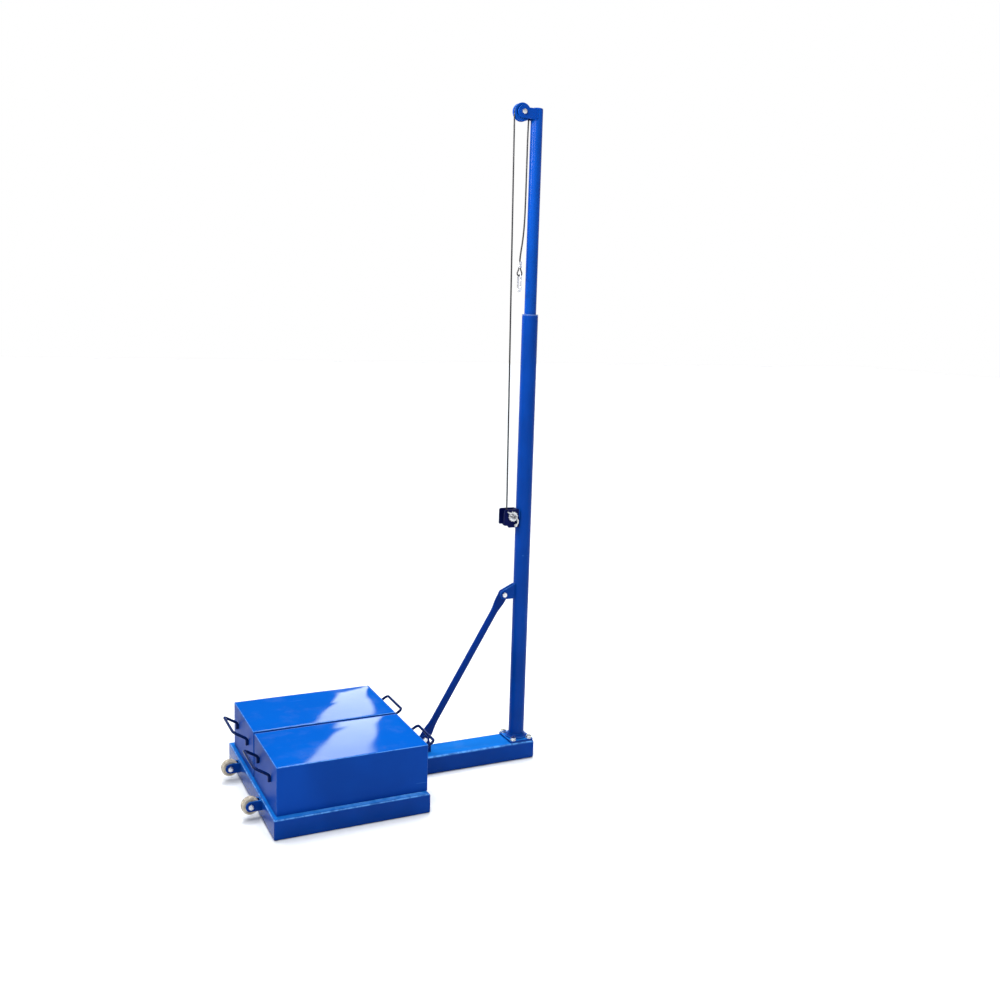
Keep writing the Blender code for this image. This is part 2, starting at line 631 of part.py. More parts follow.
def brace_brackets():
    """The bracket on the mast and the lug on the boom that hold the brace's flattened ends."""
    inner = BRACE_FLAT / 2 + TOUCH
    outer = inner + BRACKET_PLATE
    hole = BOLT_RADIUS + TOUCH
    x, z = BRACE_TOP
    face = -LOWER_RADIUS - TOUCH
    web = face - BRACKET_PLATE
    section = [(face, -outer), (face, outer), (x - 0.03, outer), (x - 0.03, inner), (web, inner), (web, -inner),
               (x - 0.03, -inner), (x - 0.03, -outer)]
    slope = math.atan2(MAST_BRACKET_TOP - z, face - x)
    lean = slope + math.acos(min(1, BRACKET_EYE / math.hypot(face - x, MAST_BRACKET_TOP - z)))
    side = [(face + 0.001, MAST_BRACKET_TOP)] + arc((x, z), BRACKET_EYE, lean, 1.5 * math.pi, 12)
    side += [(face + 0.001, z - BRACKET_EYE)]
    folded_bracket("mast_bracket", section, "Z", z - 0.04, MAST_BRACKET_TOP + 0.01, side,
                   [circle(hole, 12, (x, z))])
    x, z = BRACE_FOOT
    low = SECTION_HEIGHT + TOUCH
    floor = low + BRACKET_PLATE
    top = z + 0.03
    section = [(-outer, low), (outer, low), (outer, top), (inner, top), (inner, floor), (-inner, floor),
               (-inner, top), (-outer, top)]
    half = BOOM_LUG_LENGTH / 2
    side = [(x + half, low - 0.001), (x + half, low + 0.022)] + arc((x, z), BRACKET_EYE, 0, math.pi, 12)
    side += [(x - half, low + 0.022), (x - half, low - 0.001)]
    folded_bracket("boom_lug", section, "X", x - half - 0.005, x + half + 0.005, side, [circle(hole, 12, (x, z))])


def brace():
    """A tube whose ends are pressed flat round their bolt holes."""
    foot = Vector((BRACE_FOOT[0], 0, BRACE_FOOT[1]))
    top = Vector((BRACE_TOP[0], 0, BRACE_TOP[1]))
    along = (top - foot).normalized()
    across = Vector((along.z, 0, -along.x))
    length = (top - foot).length
    half_flat = BRACE_FLAT / 2
    half_wide = BRACE_FLAT_WIDTH / 2
    ends = []
    for angle in (20, 38, 60, 90):
        turn = math.radians(angle)
        ends.append((-half_wide * math.cos(turn), max(half_wide * math.sin(turn), half_flat + 0.0001), half_flat))
    ends.append((half_wide, half_wide, half_flat))
    for step in range(1, 5):
        t = step / 4
        ease = t * t * (3 - 2 * t)
        ends.append((half_wide + BRACE_TAPER * t, half_wide + (BRACE_RADIUS - half_wide) * ease,
                     half_flat + (BRACE_RADIUS - half_flat) * ease))
    stations = ends + [(length - s, wide, thick) for s, wide, thick in reversed(ends)]
    rings = []
    for s, wide, thick in stations:
        centre = foot + along * s
        rings.append([centre + across * u + Vector((0, v, 0)) for u, v in stadium(wide, thick, 16)])
    tube = solid("brace", loft(rings), "blue_enamel")
    for name, (x, z) in (("foot", BRACE_FOOT), ("top", BRACE_TOP)):
        combine(tube, drill(f"brace_drill_{name}", BOLT_RADIUS + TOUCH, "Y", -0.03, 0.03, (x, z), 12))


def handle_path(face, outward, middle):
    """Centre line of a lifting handle: feet flat on the box, legs rising outward, a straight bar."""
    foot_low = SECTION_HEIGHT + TOUCH + HANDLE_FOOT_HEIGHT
    foot_high = foot_low + HANDLE_FOOT
    near = face + outward * (HANDLE_ROD / 2 + TOUCH)
    out = near + outward * HANDLE_REACH
    half = HANDLE_SPAN / 2
    corners = []
    for side in (-1, 1):
        leg = [(near, middle + side * half, foot_low), (near, middle + side * half, foot_high),
               (out, middle + side * (half - 0.002), foot_high + HANDLE_RISE)]
        corners += leg if side < 0 else reversed(leg)
    return bent_path(corners, HANDLE_BEND)


def box_ring(inward, z):
    """A level section of a counterweight, drawn in from its sides."""
    length = WEIGHT_LENGTH / 2 - inward
    width = WEIGHT_WIDTH / 2 - inward
    corner = max(WEIGHT_EDGE - inward, 0.0008)
    return [(x, y, z) for x, y in rounded_rectangle(-length, length, -width, width, corner, 2)]


def counterweights():
    """Two concrete-filled boxes that lie on the frame, each with a handle at either end, and lift off."""
    low = SECTION_HEIGHT + TOUCH
    rear = FRAME_FRONT - WEIGHT_LENGTH
    for side, name in ((-1, "near"), (1, "far")):
        middle = side * (WEIGHT_SPACING + WEIGHT_WIDTH) / 2
        at = (rear + WEIGHT_LENGTH / 2, middle, low)
        lift = joint_empty(f"{name}_weight_joint", at)
        ceiling = WEIGHT_HEIGHT - WEIGHT_SHEET
        inset = WEIGHT_EDGE * (1 - math.cos(math.radians(45)))
        sections = [(WEIGHT_SHEET, ceiling), (WEIGHT_SHEET, 0), (0, 0), (0, WEIGHT_HEIGHT - WEIGHT_EDGE),
                    (inset, WEIGHT_HEIGHT - inset), (WEIGHT_EDGE, WEIGHT_HEIGHT)]
        solid(f"counterweight_{name}", loft([box_ring(inward, z) for inward, z in sections]),
              "bright_blue_enamel", at, lift)
        core = WEIGHT_SHEET + TOUCH
        rings = [box_ring(core, z) for z in (CONCRETE_SHORT, ceiling - TOUCH)]
        solid(f"concrete_{name}", loft(rings), "concrete", at, lift)
        for end, face, outward in (("rear", rear, -1), ("front", FRAME_FRONT, 1)):
            rod(f"handle_{name}_{end}", handle_path(face, outward, middle), HANDLE_ROD / 2, "blue_enamel", at, lift,
                resolution=4)


def transport_wheels():
    """Two small wheels in folded brackets on the rear rail, clear of the ground until the base is tipped."""
    face = FRAME_REAR - TOUCH
    axle_x = FRAME_REAR - WHEEL_AXLE_OUT
    inner = WHEEL_WIDTH / 2 + RUNNING
    outer = inner + WHEEL_PLATE
    z = WHEEL_AXLE_HEIGHT
    for side, name in ((-1, "near"), (1, "far")):
        y = side * (WEIGHT_SPACING + WEIGHT_WIDTH) / 2
        tip = axle_x - 0.03
        web = face - WHEEL_PLATE
        section = [(face, y - outer), (face, y + outer), (tip, y + outer), (tip, y + inner), (web, y + inner),
                   (web, y - inner), (tip, y - inner), (tip, y - outer)]
        outline = [(face + 0.001, z + WHEEL_PLATE_RADIUS)]
        outline += arc((axle_x, z), WHEEL_PLATE_RADIUS, 0.5 * math.pi, 1.5 * math.pi, 10)
        outline += [(face + 0.001, z - WHEEL_PLATE_RADIUS)]
        folded_bracket(f"wheel_bracket_{name}", section, "Z", z - 0.03, z + 0.03, outline,
                       [circle(BOLT_RADIUS + TOUCH, 12, (axle_x, z))])
        at = (axle_x, y, z)
        roll = joint_empty(f"{name}_wheel_joint", at)
        half = WHEEL_WIDTH / 2
        side_profile = [(BOLT_RADIUS + TOUCH, half), (WHEEL_HUB, half), (WHEEL_HUB + 0.001, half - 0.004),
                        (WHEEL_RADIUS - 0.007, half - 0.004), (WHEEL_RADIUS - 0.006, half),
                        (WHEEL_RADIUS - 0.002, half), (WHEEL_RADIUS, half - 0.002)]
        profile = [(r, -w) for r, w in side_profile] + list(reversed(side_profile))
        solid(f"wheel_{name}", turned(profile, "Y", 24, loop=True), "cream_nylon", at, roll)
        wheel_axle(name, axle_x, y, z, outer + TOUCH)


def wheel_axle(name, x, y, z, seat):
    """The axle bolt of a wheel with its nut run up tight, as one piece."""
    count = FASTENER_SIDES
    sections = [(polygon_ring(BOLT_FLATS * CHAMFER, 6, count), -seat - BOLT_HEAD),
                (polygon_ring(BOLT_FLATS, 6, count), -seat - BOLT_HEAD + 0.001),
                (polygon_ring(BOLT_FLATS, 6, count), -seat), (circle(BOLT_RADIUS, count), -seat),
                (circle(BOLT_RADIUS, count), seat), (polygon_ring(BOLT_FLATS, 6, count), seat),
                (polygon_ring(BOLT_FLATS, 6, count), seat + NUT_HEIGHT), (circle(BOLT_RADIUS, count), seat + NUT_HEIGHT),
                (circle(BOLT_RADIUS, count), seat + NUT_HEIGHT + 0.003)]
    rings = [[spot("Y", u, v, along) for u, v in ring] for ring, along in sections]
    solid(f"wheel_axle_{name}", loft(rings), "zinc", (x, y, z))


def winch():
    """Folded bracket on the mast with a drum, a ratchet wheel and a bowed pawl."""
    inner = WINCH_HALF_WIDTH - WINCH_PLATE
    face = -LOWER_RADIUS - TOUCH
    web = face - WINCH_PLATE
    tip = WINCH_REAR - 0.01
    section = [(face, -WINCH_HALF_WIDTH), (face, WINCH_HALF_WIDTH), (tip, WINCH_HALF_WIDTH), (tip, inner),
               (web, inner), (web, -inner), (tip, -inner), (tip, -WINCH_HALF_WIDTH)]
    corner = 0.007
    step_x = WINCH_REAR + 0.014
    step_z = WINCH_FOOT + 0.008
    outline = [(face + 0.001, WINCH_TOP), (WINCH_REAR + corner, WINCH_TOP)]
    outline += arc((WINCH_REAR + corner, WINCH_TOP - corner), corner, 0.5 * math.pi, math.pi, 4)[1:]
    outline += arc((WINCH_REAR + 0.004, step_z + 0.004), 0.004, math.pi, 1.5 * math.pi, 3)
    outline += [(step_x, step_z), (step_x + 0.006, WINCH_FOOT), (face + 0.001, WINCH_FOOT)]
    holes = [circle(SHAFT_RADIUS + RUNNING / 2, 20, (WINCH_X, WINCH_Z)), circle(PAWL_PIN + TOUCH, 12, PAWL_PIVOT)]
    folded_bracket("winch_bracket", section, "Z", WINCH_FOOT - 0.01, WINCH_TOP + 0.01, outline, holes,
                   "dark_blue_enamel")
    at = (WINCH_X, 0, WINCH_Z)
    turn = joint_empty("winch_joint", at)
    winch_drum(at, turn, inner)
    crank_boss(at, turn)
    ratchet(at, turn)
    pawl()
    drum_winding(at, turn)


def boss_seat():
    """Where the shaft ends and the crank boss begins, beyond the ratchet wheel."""
    return -(WINCH_HALF_WIDTH + 2 * RUNNING + RATCHET_THICKNESS + TOUCH)


def winch_drum(at, turn, inner):
    """Turned drum: core between the cheeks, shaft through both of them, and a collar on the far side."""
    far = WINCH_HALF_WIDTH + RUNNING
    collar = SHAFT_RADIUS + 0.003
    profile = [(collar, far + 0.005), (collar, far), (SHAFT_RADIUS, far), (SHAFT_RADIUS, inner - RUNNING),
               (DRUM_RADIUS, inner - RUNNING), (DRUM_RADIUS, -inner + RUNNING), (SHAFT_RADIUS, -inner + RUNNING),
               (SHAFT_RADIUS, boss_seat() + TOUCH)]
    solid("winch_drum", turned(profile, "Y", 20), "zinc", at, turn)


def crank_boss(at, turn):
    """The boss on the shaft's end, with a square socket for a crank and a short turning bar."""
    count = 24
    seat = boss_seat()
    end = seat - HUB_LENGTH
    sections = [(circle(HUB_RADIUS, count), seat), (circle(HUB_RADIUS, count), end + 0.001),
                (circle(HUB_RADIUS - 0.001, count), end), (polygon_ring(SOCKET, 4, count), end),
                (polygon_ring(SOCKET, 4, count), seat)]
    rings = [[spot("Y", u, v, along) for u, v in ring] for ring, along in sections]
    boss = solid("crank_boss", loft(rings, loop=True), "zinc", at, turn)
    centre = Vector((WINCH_X, seat - HUB_LENGTH / 2, WINCH_Z))
    ray = Vector((math.cos(BAR_DIRECTION), 0, math.sin(BAR_DIRECTION)))
    first = centre + ray * (HUB_RADIUS - BAR_SEAT)
    last = centre + ray * BAR_LENGTH
    rod("turning_bar", [first, first.lerp(last, 0.5), last], BAR_RADIUS, "zinc", at, turn)
    hole = spin_between(first - ray * TOUCH, centre + ray * (HUB_RADIUS + 0.001), BAR_RADIUS + TOUCH)
    combine(boss, solid("turning_bar_hole", hole, "zinc"))


def spin_between(start, end, radius, count=12):
    """A cylinder between two points."""
    along = (end - start).normalized()
    side = along.orthogonal().normalized()
    other = along.cross(side)
    rings = [[centre + side * u + other * v for u, v in circle(radius, count)] for centre in (start, end)]
    return loft(rings)


def ratchet(at, turn):
    """The ratchet wheel: saw teeth whose steep faces hold against the pull of the cable."""
    pitch = 2 * math.pi / RATCHET_TEETH
    outline = []
    for tooth in range(RATCHET_TEETH):
        start = RATCHET_STEP + tooth * pitch
        outline.append((RATCHET_ROOT * math.cos(start), RATCHET_ROOT * math.sin(start)))
        outline.append((RATCHET_TIP * math.cos(start + 0.02), RATCHET_TIP * math.sin(start + 0.02)))
        outline.append((RATCHET_TIP * math.cos(start + 0.14), RATCHET_TIP * math.sin(start + 0.14)))
    near = -(WINCH_HALF_WIDTH + 2 * RUNNING)
    form = plate(outline, [circle(SHAFT_RADIUS + TOUCH, 20)], near - RATCHET_THICKNESS, near, "Y")
    solid("ratchet_wheel", form, "zinc", at, turn, smooth=False)


def pawl():
    """The bowed pawl, which props the ratchet wheel from below on its own pin."""
    hold = RATCHET_STEP - 0.03
    bite = (RATCHET_ROOT + RATCHET_TIP) / 2 + 0.0016
    tip = Vector((WINCH_X + bite * math.cos(hold), WINCH_Z + bite * math.sin(hold)))
    pivot = Vector(PAWL_PIVOT)
    chord = pivot - tip
    bulge = Vector((-chord.y, chord.x)).normalized()
    radius = chord.length ** 2 / (8 * PAWL_BOW) + PAWL_BOW / 2
    centre = (tip + pivot) / 2 - bulge * (radius - PAWL_BOW)
    start = math.atan2(tip.y - centre.y, tip.x - centre.x)
    end = math.atan2(pivot.y - centre.y, pivot.x - centre.x)
    if end > start:
        end -= 2 * math.pi
    half = PAWL_WIDTH / 2
    steps = 8
    shoulder = PAWL_EYE / radius * 0.8
    outer = arc(centre, radius + half, start, end + shoulder, steps)
    inner = arc(centre, radius - half, end + shoulder, start - 0.10, steps)
    facing = math.atan2(outer[-1][1] - pivot.y, outer[-1][0] - pivot.x)
    closing = math.atan2(inner[0][1] - pivot.y, inner[0][0] - pivot.x)
    if closing > facing:
        closing -= 2 * math.pi
    outline = outer + arc(pivot, PAWL_EYE, facing, closing, 10)[1:-1] + inner
    near = -(WINCH_HALF_WIDTH + 2 * RUNNING)
    at = (PAWL_PIVOT[0], 0, PAWL_PIVOT[1])
    swing = joint_empty("pawl_joint", at)
    local = [(u - at[0], v - at[2]) for u, v in outline]
    form = plate(local, [circle(PAWL_PIN + TOUCH, 12)], near - RATCHET_THICKNESS, near, "Y")
    solid("ratchet_pawl", form, "zinc", at, swing, smooth=False)
    head = near - RATCHET_THICKNESS - TOUCH
    inside = -(WINCH_HALF_WIDTH - WINCH_PLATE - 0.003)
    profile = [(PAWL_PIN + 0.002, head - 0.0025), (PAWL_PIN + 0.002, head), (PAWL_PIN, head), (PAWL_PIN, inside)]
    solid("pawl_pin", turned(profile, "Y", 12), "zinc", at)


def winding_line():
    """Centre line of the cable wound on the drum, from its fixed end to where it leaves upward."""
    radius = DRUM_RADIUS + CABLE_RADIUS + TOUCH
    per_turn = 24
    span = DRUM_TURNS * DRUM_PITCH
    points = []
    for step in range(DRUM_TURNS * per_turn + 1):
        angle = math.pi - 2 * math.pi * (DRUM_TURNS - step / per_turn)
        y = span / 2 - span * step / (DRUM_TURNS * per_turn)
        points.append(Vector((WINCH_X + radius * math.cos(angle), y, WINCH_Z - radius * math.sin(angle))))
    return points


def drum_winding(at, turn):
    """The cable on the drum, as one unbroken tube, and its straight end where the free run begins."""
    line = winding_line()
    leave = Vector((0, 0, 2 * CABLE_RADIUS))
    rod("cable_winding", line + [line[-1] + leave / 2, line[-1] + leave], CABLE_RADIUS, "black_cable", at, turn, 1)
    per_turn = 24
    least = min((a - b).length for i, a in enumerate(line) for b in line[i + per_turn // 2:]) - 2 * CABLE_RADIUS
    print(f"least gap between the turns on the drum: {least * 1000:.2f} mm")


def cable(slide):
    """The run from drum to pulley, the part round the pulley and the free end with its snap hook."""
    low = winding_line()[-1] + Vector((0, 0, 2 * CABLE_RADIUS + TOUCH))
    high = Vector((PULLEY_X - CABLE_WRAP, 0, PULLEY_Z - TOUCH))
    steps = 12
    rod("cable_run", [low.lerp(high, i / steps) for i in range(steps + 1)], CABLE_RADIUS, "black_cable")
    over = [(u, 0, v) for u, v in arc((PULLEY_X, PULLEY_Z), CABLE_WRAP, math.pi, 0, 16)]
    route = [(PULLEY_X + CABLE_WRAP, 0, PULLEY_Z)] + [(x, 0, z) for x, z in TAIL_ROUTE]
    route += [(TAIL_X, 0, SLEEVE_TOP + 0.006), (TAIL_X, 0, SLEEVE_TOP + TOUCH)]
    rod("cable_tail", [Vector(p) for p in over] + smooth_route(route, 0.014)[1:], CABLE_RADIUS, "black_cable",
        (PULLEY_X, 0, PULLEY_Z), slide)
    end_fittings(slide)


def end_fittings(slide):
    """Crimped sleeve, eye and snap hook on the cable's free end."""
    top = SLEEVE_TOP
    bottom = top - SLEEVE_LENGTH
    at = (TAIL_X, 0, top)
    rings = []
    for share, z in ((0.88, 0), (1, -0.0015), (1, 0.0015 - SLEEVE_LENGTH), (0.88, -SLEEVE_LENGTH)):
        rings.append([(u * share, v * share, z) for u, v in stadium(*SLEEVE_HALF, 16)])
    solid("cable_sleeve", loft(rings), "zinc", at, slide)
    start = bottom - TOUCH
    centre = start - EYE_LENGTH
    swing = math.acos(EYE_LEG / EYE_RADIUS) * 0.55
    left = arc((TAIL_X, centre), EYE_RADIUS, math.pi - swing, 2 * math.pi + swing, 18)
    legs = [(TAIL_X - EYE_LEG, start), (TAIL_X - EYE_LEG, start - 0.004)]
    line = legs + left + [(2 * TAIL_X - x, z) for x, z in reversed(legs)]
    rod("cable_eye", [Vector((x, 0, z)) for x, z in line], EYE_CABLE, "black_cable", at, slide)
    snap_hook(centre - EYE_RADIUS + EYE_CABLE + HOOK_ROD + 2 * TOUCH, slide)


def snap_hook(top, slide):
    """A bent-rod snap hook that hangs in the eye, with its spring gate on the near side."""
    half = HOOK_HALF_WIDTH
    upper = top - half
    lower = top - HOOK_LENGTH + half
    gate_top = (upper + lower) / 2 + GATE_LENGTH / 2
    gate_low = gate_top - GATE_LENGTH
    over = arc((0, upper), half, math.pi, 0, 10)
    under = arc((0, lower), half, 0, -math.pi, 10)
    line = [(-half, gate_top + TOUCH), (-half, (gate_top + upper) / 2)] + over + under
    line += [(-half, (gate_low + lower) / 2), (-half, gate_low - TOUCH)]
    hang_at = (TAIL_X, 0, top)
    sway = joint_empty("snap_hook_joint", hang_at, slide)
    rod("snap_hook", [Vector((TAIL_X, y, z)) for y, z in line], HOOK_ROD, "zinc", hang_at, sway)
    pivot = (TAIL_X, -half, gate_low + GATE_RADIUS)
    swing = joint_empty("hook_gate_joint", pivot, sway)
    ball = [(GATE_RADIUS * math.cos(a), GATE_RADIUS * math.sin(a)) for a in map(math.radians, (-80, -50, -25, 0))]
    tip = GATE_LENGTH - GATE_RADIUS
    solid("hook_gate", turned(ball + [(GATE_RADIUS, tip - 0.0006), (GATE_RADIUS - 0.0006, tip)], "Z", 12), "zinc",
          pivot, swing)


def build():
    """Make the whole post."""
    clear_scene()
    base_frame()
    boom()
    mast_foot()
    mast_lower()
    brace_brackets()
    brace()
    brace_bolt_set("upper", BRACE_TOP)
    brace_bolt_set("lower", BRACE_FOOT)
    slide = joint_empty("mast_slide_joint", (0, 0, LOWER_TOP))
    mast_upper(slide)
    pulley_head(slide)
    counterweights()
    transport_wheels()
    winch()
    cable(slide)


build()
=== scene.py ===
# %% [markdown]
# A volleyball net post, dressed for its picture
# The model comes in as a fixed frame: every bolt, tube and box is already in its real place, in metres.
# This script adds what a camera would see on the real thing: gloss enamel, zinc, weld beads, rounded
# sheet edges, the cable's lay, and a plain studio round it all.

# %% Load the frame
import json
import math

import bpy
from mathutils import Matrix, Vector


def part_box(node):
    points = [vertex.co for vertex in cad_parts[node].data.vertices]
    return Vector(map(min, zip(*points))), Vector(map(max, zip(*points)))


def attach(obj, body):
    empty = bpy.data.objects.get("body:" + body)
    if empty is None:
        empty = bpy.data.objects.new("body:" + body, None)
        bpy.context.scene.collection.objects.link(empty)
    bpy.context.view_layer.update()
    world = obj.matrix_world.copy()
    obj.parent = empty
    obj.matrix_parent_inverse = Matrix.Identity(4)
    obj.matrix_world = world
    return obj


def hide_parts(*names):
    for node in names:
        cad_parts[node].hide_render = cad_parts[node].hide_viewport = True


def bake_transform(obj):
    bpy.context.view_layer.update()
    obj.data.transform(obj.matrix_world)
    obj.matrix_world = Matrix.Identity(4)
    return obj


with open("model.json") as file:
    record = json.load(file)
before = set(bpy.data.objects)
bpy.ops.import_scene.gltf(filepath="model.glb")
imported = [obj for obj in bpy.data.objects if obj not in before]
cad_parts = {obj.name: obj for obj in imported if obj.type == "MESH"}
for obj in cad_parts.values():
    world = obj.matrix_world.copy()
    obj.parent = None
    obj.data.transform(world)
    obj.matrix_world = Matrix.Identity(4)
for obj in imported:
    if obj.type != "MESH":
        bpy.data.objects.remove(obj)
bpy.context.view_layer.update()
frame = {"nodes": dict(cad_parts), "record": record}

# %% [markdown]
# The camera stands where the photographer stood. Its focal length and tilt were found from the straight
# edges of the post, so they are written as numbers in pixels and radians. Blender wants a lens in
# millimetres on a 36 mm sensor, and its shift moves the picture's centre away from the lens axis.

# %% Camera
IMAGE_SIZE = 1000
FOCAL_PIXELS = 1097.5
LENS_AXIS = (532.3, 483.9)
CAMERA_PLACE = Vector((-1.8464, -3.6953, 1.7252))
CAMERA_YAW, CAMERA_PITCH, CAMERA_ROLL = -0.4707, 0.1543, -0.0352
SENSOR = 36.0


def make_camera():
    """Put the camera in place, turned by its yaw, its downward pitch and its roll."""
    forward = Vector((-math.sin(CAMERA_YAW) * math.cos(CAMERA_PITCH),
                      math.cos(CAMERA_YAW) * math.cos(CAMERA_PITCH), -math.sin(CAMERA_PITCH)))
    level = Vector((math.cos(CAMERA_YAW), math.sin(CAMERA_YAW), 0))
    down = forward.cross(level)
    right = math.cos(CAMERA_ROLL) * level + math.sin(CAMERA_ROLL) * down
    up = math.sin(CAMERA_ROLL) * level - math.cos(CAMERA_ROLL) * down
    data = bpy.data.cameras.new("photo_camera")
    data.sensor_width = SENSOR
    data.lens = SENSOR * FOCAL_PIXELS / IMAGE_SIZE
    data.shift_x = 0.5 - LENS_AXIS[0] / IMAGE_SIZE
    data.shift_y = LENS_AXIS[1] / IMAGE_SIZE - 0.5
    data.clip_start = 0.05
    camera = bpy.data.objects.new("photo_camera", data)
    bpy.context.scene.collection.objects.link(camera)
    turn = Matrix((right, up, -forward)).transposed().to_4x4()
    camera.matrix_world = Matrix.Translation(CAMERA_PLACE) @ turn
    bpy.context.scene.camera = camera
    print("lens", round(data.lens, 2), "mm, shift", round(data.shift_x, 4), round(data.shift_y, 4))


make_camera()

# %% [markdown]
# A material is a small program made of nodes. Wiring them by hand gets long, so this class wraps one
# output socket and lets sums and products be written as in arithmetic: every sign adds a Math node.
# The reflected form of the difference is there so that 1 - mask works as well as mask - 1.

# %% Shader maths


class Wire:
    """One output of a shader node, which takes part in sums as a number does."""

    def __init__(self, tree, socket):
        self.tree = tree
        self.socket = socket

    def math(self, operation, other=0.0, clamp=False):
        """Add a Math node that works on this value, and on another where the operation takes two."""
        settings = {"operation": operation, "use_clamp": clamp}
        return add_node(self.tree, "ShaderNodeMath", settings, {0: self, 1: other})

    def __add__(self, other):
        return self.math("ADD", other)

    def __sub__(self, other):
        return self.math("SUBTRACT", other)

    def __mul__(self, other):
        return self.math("MULTIPLY", other)

    def __rsub__(self, other):
        return add_node(self.tree, "ShaderNodeMath", {"operation": "SUBTRACT"}, {0: other, 1: self})

    def clipped(self):
        """The same value, kept between 0 and 1."""
        return self.math("ADD", 0.0, clamp=True)

    def ramp(self, low, high):
        """A soft step: 0 below low, 1 above high."""
        values = {"Value": self, "From Min": low, "From Max": high}
        return add_node(self.tree, "ShaderNodeMapRange", {"interpolation_type": "SMOOTHSTEP"}, values)


def add_node(tree, kind, settings=None, inputs=None, output=0):
    """Add a node, set its settings first, then the values or links of its sockets."""
    node = tree.nodes.new(kind)
    for name, value in (settings or {}).items():
        setattr(node, name, value)
    for name, value in (inputs or {}).items():
        if isinstance(value, Wire):
            tree.links.new(value.socket, node.inputs[name])
        else:
            node.inputs[name].default_value = value
    return Wire(tree, node.outputs[output])


def parts(vector):
    """The x, y and z of a vector."""
    split = add_node(vector.tree, "ShaderNodeSeparateXYZ", {}, {"Vector": vector}).socket.node
    return [Wire(vector.tree, socket) for socket in split.outputs]


def noise(place, scale, detail=2.0, rough=0.5, stretch=None):
    """Noise of a scale given in cells per metre, stretched along an axis if wanted."""
    if stretch is not None:
        place = add_node(place.tree, "ShaderNodeMapping", {}, {"Vector": place, "Scale": stretch})
    values = {"Vector": place, "Scale": scale, "Detail": detail, "Roughness": rough}
    return add_node(place.tree, "ShaderNodeTexNoise", {}, values)


def blend(share, first, second):
    """Mix two colours by a share."""
    settings = {"data_type": "RGBA", "blend_type": "MIX"}
    return add_node(share.tree, "ShaderNodeMix", settings, {0: share, 6: first, 7: second}, output=2)


def bump(height, strength, distance):
    """A surface that leans with the height of a pattern, over a distance in metres."""
    values = {"Strength": strength, "Distance": distance, "Height": height}
    return add_node(height.tree, "ShaderNodeBump", {}, values)


def new_material(name):
    """An empty material with its shader, and the piece's own coordinates to draw patterns in."""
    material = bpy.data.materials.new(name)
    material.use_nodes = True
    tree = material.node_tree
    shader = tree.nodes["Principled BSDF"]
    place = add_node(tree, "ShaderNodeTexCoord", output=3)
    return material, tree, shader, place


def plug(tree, shader, **inputs):
    """Set or link sockets of a shader, whose names have their blanks as underscores."""
    for name, value in inputs.items():
        socket = shader.inputs[name.replace("_", " ")]
        if isinstance(value, Wire):
            tree.links.new(value.socket, socket)
        else:
            socket.default_value = value


# %% [markdown]
# Gloss enamel over sheet steel is smooth but never flat. The spray gun leaves orange peel, the tone drifts
# a little, and dust settles on what faces up. What faces up is also a lighter blue, which is painted light
# from above. Rounded edges are pale, partly from thin, worn paint and partly as a painted highlight. Pieces
# with such edges carry an attribute named edge, and the others read it as 0. The shader sees all of it as
# noise of different sizes, laid out in the piece's own metres.

# %% Enamel
PEEL_SCALE, PEEL_DEPTH = 300.0, 0.000010
ENAMEL_SPECULAR = 0.05
DUST, DUST_COLOUR = 0.10, (0.42, 0.47, 0.58, 1)
# Pale blue of worn paint and scratches, also a painted highlight along edges.
WEAR_AND_HIGHLIGHT_COLOUR = (0.12, 0.37, 0.84, 1)
# Each paint has its colour on the sides and on top, where it is lighter as painted light from above, its
# roughness on top, what the sides add to that, and how much its edges wear and show a painted highlight.
PAINTS = {
    "blue_enamel": ((0.0008, 0.0360, 0.2360), (0.0060, 0.1350, 0.5000), 0.09, 0.10, 1.0),
    "bright_blue_enamel": ((0.0008, 0.0450, 0.2900), (0.0008, 0.0770, 0.3850), 0.035, 0.40, 0.55),
    "light_blue_enamel": ((0.0010, 0.0430, 0.2600), (0.0060, 0.1350, 0.5000), 0.12, 0.10, 0.55),
    # A darker copy of blue_enamel for the brace and the boom lug: painted shade.
    "shaded_blue_enamel": ((0.0008, 0.0190, 0.1500), (0.0010, 0.0300, 0.2000), 0.09, 0.10, 0.55),
    # A darker copy of blue_enamel for the handles and their welds: painted shade.
    "shaded_handle_enamel": ((0.0008, 0.0090, 0.0620), (0.0010, 0.0150, 0.1000), 0.10, 0.10, 0.55),
    "dark_blue_enamel": ((0.0008, 0.0030, 0.0450), (0.0012, 0.0060, 0.0600), 0.20, 0.10, 0.20),
}


